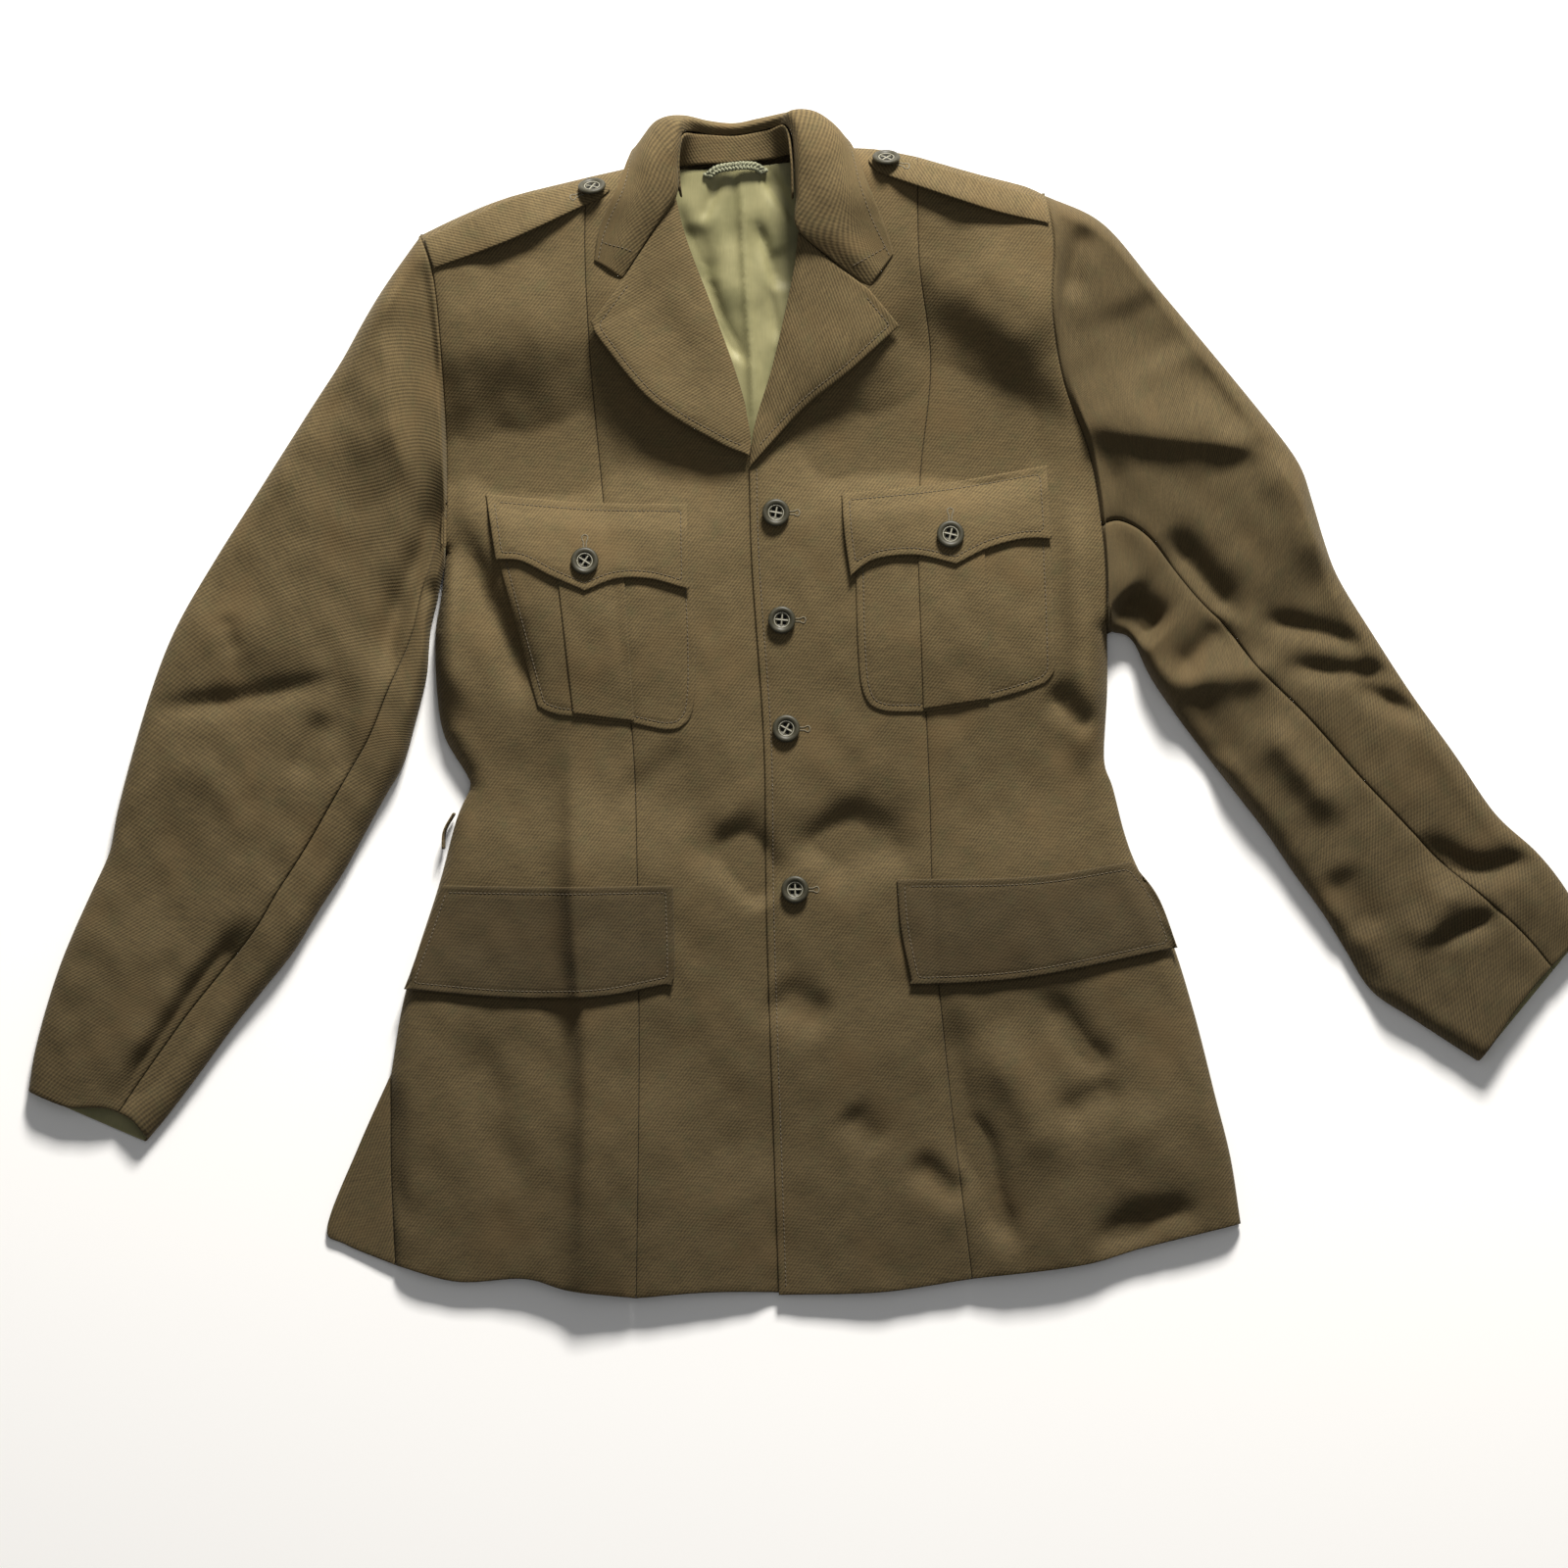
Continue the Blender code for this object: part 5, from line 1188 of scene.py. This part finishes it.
def sewCollar(outer, across):
    # along the free edge of the fall on both sides of the neck, and across both of its ends
    column = np.abs(across - collar["stitchedAt"]).argmin()
    line = outer[:, column]
    high = line[:, 2] > 20
    for part in (line[high & (line[:, 0] < -80)], line[high & (line[:, 0] > 10)]):
        stitches.extend((ends, stitch["collarRise"]) for ends in stitchesOn(part, 3.0, 3.0))
    for row in (collar["endRow"], len(outer) - collar["endRow"] - 1):
        part = outer[row, 9:column + 1]
        stitches.extend((ends, stitch["collarRise"]) for ends in stitchesOn(part, 0.5, 1.0))


# Stitches, buttonholes, buttons and cords

def tube(route, radius, sides=8, squash=1.0):
    # points and faces of a round cord with rounded ends
    route = np.asarray(route, float)
    radius = np.asarray(radius) * np.ones(len(route))
    way = np.gradient(route, axis=0)
    way /= np.linalg.norm(way, axis=1)[:, None]
    level = np.cross(way, (0.0, 0.0, 1.0))
    level /= np.maximum(np.linalg.norm(level, axis=1), 1e-6)[:, None]
    upright = np.cross(level, way)
    angle = np.arange(sides) * 2 * math.pi / sides
    ring = (level[:, None] * np.cos(angle)[None, :, None] + upright[:, None] * np.sin(angle)[None, :, None] * squash)
    points = (route[:, None] + ring * radius[:, None, None]).reshape(-1, 3)
    index = np.arange(len(points)).reshape(-1, sides)
    after = np.roll(index, -1, axis=1)
    faces = np.stack([index[:-1], after[:-1], after[1:], index[1:]], -1).reshape(-1, 4).tolist()
    points = np.vstack([points, route[:1] - way[:1] * radius[0] * 0.5, route[-1:] + way[-1:] * radius[-1] * 0.5])
    tip, end = len(points) - 2, len(points) - 1
    faces += [[int(after[0, i]), int(index[0, i]), tip] for i in range(sides)]
    faces += [[int(index[-1, i]), int(after[-1, i]), end] for i in range(sides)]
    weave = gridWeave(runAlong(route), angle * radius[0])
    return points, faces, np.vstack([weave, weave[:1], weave[-1:]])


def joined(parts):
    points, faces, weave, first = [], [], [], 0
    for p, f, w in parts:
        points.append(p)
        weave.append(w)
        faces += [[i + first for i in face] for face in f]
        first += len(p)
    return np.vstack(points), faces, np.vstack(weave)


def makeStitches():
    parts = []
    for ends, rise in stitches:
        route = ends[0] + (ends[1] - ends[0]) * np.array(stitch["shape"])[:, None]
        route[:, 2] += rise
        parts.append(tube(route, stitch["thickness"], 6))
    makePiece("topstitching", *joined(parts), sewingThread, "cloth")
    print("stitches:", len(parts))


buttons = [  # name, node, x, y, what it is sewn on, turn, buttonhole heading and start
    ("buttonFrontOne", "button_front_1", -21, 130, "front", 2, 0),
    ("buttonFrontTwo", "button_front_2", -17, 58, "front", 30, 0),
    ("buttonFrontThree", "button_front_3", -14, -15, "front", 12, 0),
    ("buttonFrontFour", "button_front_4", -8, -123, "front", 38, 0),
    ("buttonChestLeft", "button_chest_left", -149, 97, "chestFlapLeft", 20, 90),
    ("buttonChestRight", "button_chest_right", 96, 115, "chestFlapRight", 45, 90),
    ("buttonStrapLeft", "button_strap_left", -144, 347, "strapLeft", 15, 205),
    ("buttonStrapRight", "button_strap_right", 53, 366, "strapRight", 5, -17),
]
buttonForm = {
    "radius": 9.3, "shoulderLean": 0.8, "floor": 1.7, "holeAt": 2.75, "hole": 1.25, "web": 0.5, "sides": 48,
    "holeSides": 16,
    "profile": [(0.50, 0.0), (0.86, 0.5), (0.97, 1.2), (1.0, 2.0), (0.985, 2.6), (0.93, 3.2), (0.85, 3.55),
                (0.76, 3.55), (0.67, 3.2), (0.60, 2.7), (0.555, 2.3), (0.538, 1.7)],
}


def buttonMesh(turn):
    # a dished disc with a raised rim and four holes, then the worn web between them
    sides, radius, around = buttonForm["sides"], buttonForm["radius"], buttonForm["holeSides"]
    angle = np.arange(sides) * 2 * math.pi / sides
    rings = [np.column_stack([np.cos(angle) * share * radius, np.sin(angle) * share * radius,
                              np.full(sides, z)]) for share, z in buttonForm["profile"]]
    points = np.vstack(rings)
    index = np.arange(len(points)).reshape(-1, sides)
    after = np.roll(index, -1, axis=1)
    faces = np.stack([index[:-1], after[:-1], after[1:], index[1:]], -1).reshape(-1, 4).tolist()
    which = [0] * len(faces)
    rim = rings[-1][:, :2]
    holes = []
    for k in range(4):
        at = math.radians(turn) + k * math.pi / 2
        ring = np.arange(around) * 2 * math.pi / around
        holes.append(np.column_stack([buttonForm["holeAt"] * math.cos(at) + buttonForm["hole"] * np.cos(ring),
                                      buttonForm["holeAt"] * math.sin(at) + buttonForm["hole"] * np.sin(ring)]))
    flat = [tuple(p) for p in rim] + [tuple(p) for hole in holes for p in hole]
    edges = [(i, (i + 1) % sides) for i in range(sides)]
    for k in range(4):
        first = sides + around * k
        edges += [(first + i, first + (i + 1) % around) for i in range(around)]
    made = delaunay_2d_cdt([Vector(p) for p in flat], edges, [], 0, 0.0001, True)
    back = {source: i for i, sources in enumerate(made[3]) for source in sources}
    spots = np.array([tuple(p) for p in made[0]])
    first = len(points)
    lastRing = index[-1]
    number = {back[i]: int(lastRing[i]) for i in range(sides)}
    extra = []
    for i in range(len(spots)):
        if i not in number:
            number[i] = first + len(extra)
            extra.append((*spots[i], buttonForm["floor"]))
    for triangle in made[2]:
        a, b, c = (spots[i] for i in triangle)
        middle = (a + b + c) / 3
        inHole = any(np.hypot(*(middle - hole.mean(axis=0))) < buttonForm["hole"] * 0.97 for hole in holes)
        if np.hypot(*middle) < 0.54 * radius and not inHole:
            tri = [number[i] for i in triangle]
            faces.append(tri if np.cross(b - a, c - a) > 0 else tri[::-1])
            which.append(0)
    base = first + len(extra)
    # the hole walls and floors take the second finish, near-black painted shade
    for k in range(4):
        top = [number[back[sides + around * k + i]] for i in range(around)]
        low = list(range(base, base + around))
        extra += [(x, y, 0.5) for x, y in holes[k]]
        base += around
        for i in range(around):
            j = (i + 1) % around
            faces.append([top[i], top[j], low[j], low[i]])
            which.append(1)
        faces.append(low)
        which.append(1)
    points = np.vstack([points, extra])
    faces.append([int(i) for i in index[0]][::-1])
    which.append(0)
    parts = [(points, faces, points[:, :2])]
    z = buttonForm["floor"]
    for k in range(2):
        at = math.radians(turn + 45 + 90 * k)
        reach = 0.47 * radius
        route = np.array([(math.cos(at) * r, math.sin(at) * r, z + 0.12 - 0.012 * r * r)
                          for r in np.linspace(-reach, reach, 13)])
        parts.append(tube(route, buttonForm["web"], 8, 0.8))
    ring = np.linspace(0, 2 * math.pi, 41)
    route = np.column_stack([np.cos(ring) * 0.545 * radius, np.sin(ring) * 0.545 * radius, np.full(41, 2.15)])
    parts.append(tube(route, 0.42, 8))
    made = joined(parts)
    which += [2] * (len(made[1]) - len(which))
    return (*made, which)


def makeButtons():
    holes = []
    for name, node, x, y, carrier, turn, heading in buttons:
        surface = tops[carrier]
        around = np.linspace(0, 2 * math.pi, 13)
        nearX, nearY = x + 4.6 * np.cos(around), y + 4.6 * np.sin(around)
        level = surface(nearX, nearY)
        plane = np.linalg.lstsq(np.column_stack([nearX - x, nearY - y, np.ones(13)]), level, rcond=None)[0]
        points, faces, weave, which = buttonMesh(turn)
        lean = buttonForm["shoulderLean"] if carrier.startswith("strap") else 0
        tilt = np.array(Vector((-plane[0], -plane[1] + lean, 1)).to_track_quat("Z", "Y").to_matrix())
        seat = np.array([x, y, plane[2] + 1.0 + 2.2 * lean])
        makePiece(name, points @ tilt.T + seat, faces, weave + (x, y), [buttonPlastic, buttonHoleShade, buttonWeb],
                  "button", (node,), which)
        at = math.radians(heading)
        start, length = (7.0, 9.0) if heading != 90 else (6.0, 12.0)
        way = np.array([math.cos(at), math.sin(at)])
        cross = np.array([-way[1], way[0]])
        eye = [(start, 1.0), (start + length * 0.55, 1.0), (start + length * 0.72, 1.7), (start + length * 0.9, 1.9),
               (start + length, 0.0), (start + length * 0.9, -1.9), (start + length * 0.72, -1.7),
               (start + length * 0.55, -1.0), (start, -1.0)]
        line = curve([np.array([x, y]) + way * a + cross * b for a, b in eye], 0.35)
        high = surface(*line.T) + 0.1
        wraps = 0.42 + 0.10 * np.sin(np.arange(len(line)) * 2.1)
        holes.append(tube(np.column_stack([line, high]), wraps, 8, 0.8))
    makePiece("buttonholes", *joined(holes), holeThread, "cloth")
    print("buttons made")


hanger = {"route": [(-66, 357, 0), (-60, 361, 2), (-48, 363, 3), (-36, 363, 2), (-30, 360, 0)], "radius": 2.0}
beltLoop = {"route": [(-236.6, -72, 2.4), (-243, -84, 2.0), (-244, -96, 2.4)], "thick": 1.4, "tall": 9.0}


def makeCords():
    line = curve(hanger["route"], 0.5)
    line[:, 2] += liningTop(line[:, 0], line[:, 1]) + hanger["radius"] + cloth["plyGap"]
    run = runAlong(line)
    way = np.gradient(line, axis=0)
    way /= np.linalg.norm(way, axis=1)[:, None]
    side = np.cross(way, (0, 0, 1.0))
    parts = []
    for strand in range(3):
        phase = run / 7.5 * 2 * math.pi + strand * 2 * math.pi / 3
        route = line + side * (2.0 * np.sin(phase))[:, None]
        route[:, 2] += 0.8 * np.sin(2 * phase)
        parts.append(tube(route, 1.15 + 0.12 * np.sin(run * 6), 8))
    for end in (line[0], line[-1]):
        knot = [end + (dx, 0.6 * math.sin(k), -0.6) for k, dx in enumerate(np.linspace(-3.2, 3.2, 9))]
        parts.append(tube(knot, 1.5 + 0.2 * np.sin(np.arange(9) * 2.0), 8))
    makePiece("hangerBraid", *joined(parts), braidCord, "braid", ("hanger_loop",))
    route = curve(beltLoop["route"], 0.8)
    tall = np.linspace(0, beltLoop["tall"], 9)
    grid = np.array([[(x, y, z + t) for t in tall] for x, y, z in route])
    grid[:, :, 0] += 0.5 * np.sin(grid[:, :, 2] * 0.5)
    weave = gridWeave(route[:, 1], tall)[:, ::-1]
    thickGrid("beltLoopCloth", grid, beltLoop["thick"], weave, [clothTwill, clothTwill], "cloth",
              ("belt_loop_left",), -1)
    print("cords made")


# The floor, the light and the camera

def makeStage():
    size = 3.0
    mesh = bpy.data.meshes.new("floor")
    mesh.from_pydata([(-size, -size, 0), (size, -size, 0), (size, size, 0), (-size, size, 0)], [], [(0, 1, 2, 3)])
    floor = bpy.data.objects.new("floor", mesh)
    bpy.context.scene.collection.objects.link(floor)
    floor.location.z = -0.0004
    pale = bpy.data.materials.new("pale floor")
    pale.use_nodes = True
    pale.node_tree.nodes["Principled BSDF"].inputs["Base Color"].default_value = (0.93, 0.93, 0.93, 1)
    pale.node_tree.nodes["Principled BSDF"].inputs["Roughness"].default_value = 0.9
    mesh.materials.append(pale)


lights = {  # place, aim, size, power, colour
    "windowLight": ((0.50, 3.30, 1.72), (0.0, 0.0, 0), (0.9, 0.7), 345, (1.0, 0.965, 0.91)),
    "roomLight": ((0.2, 0.2, 2.8), (0, 0, 0), (2.4, 2.4), 9, (0.98, 0.98, 0.96)),
}


def makeLights():
    for name, (place, aim, size, power, colour) in lights.items():
        light = bpy.data.lights.new(name, "AREA")
        light.shape, light.size, light.size_y = "RECTANGLE", size[0], size[1]
        light.energy, light.color = power, colour
        lamp = bpy.data.objects.new(name, light)
        bpy.context.scene.collection.objects.link(lamp)
        lamp.location = place
        lamp.rotation_mode = "QUATERNION"
        lamp.rotation_quaternion = (Vector(aim) - Vector(place)).to_track_quat("-Z", "Y")
    world = bpy.data.worlds.new("room")
    bpy.context.scene.world = world
    world.use_nodes = True
    world.node_tree.nodes["Background"].inputs[0].default_value = (1.0, 1.0, 1.0, 1)
    world.node_tree.nodes["Background"].inputs[1].default_value = 0.16


camera = {"above": (-15.5, -52.1), "height": 6000.0, "width": 1056.0, "sensor": 36.0}


def makeCamera():
    lens = bpy.data.cameras.new("camera")
    lens.sensor_width = camera["sensor"]
    lens.lens = camera["sensor"] * camera["height"] / camera["width"]
    lens.clip_end = 100
    eye = bpy.data.objects.new("camera", lens)
    bpy.context.scene.collection.objects.link(eye)
    eye.location = (camera["above"][0] * mm, camera["above"][1] * mm, camera["height"] * mm)
    bpy.context.scene.camera = eye


makeCamera()
makeLights()
makeStage()
makeBody()
print("body made")
makeSewnOn()
makeLiningPiece()
makeSleeves()
fall, across = makeCollar()
sewCollar(fall, across)
makeStitches()
makeButtons()
makeCords()
bpy.context.scene.view_settings.view_transform = "Standard"
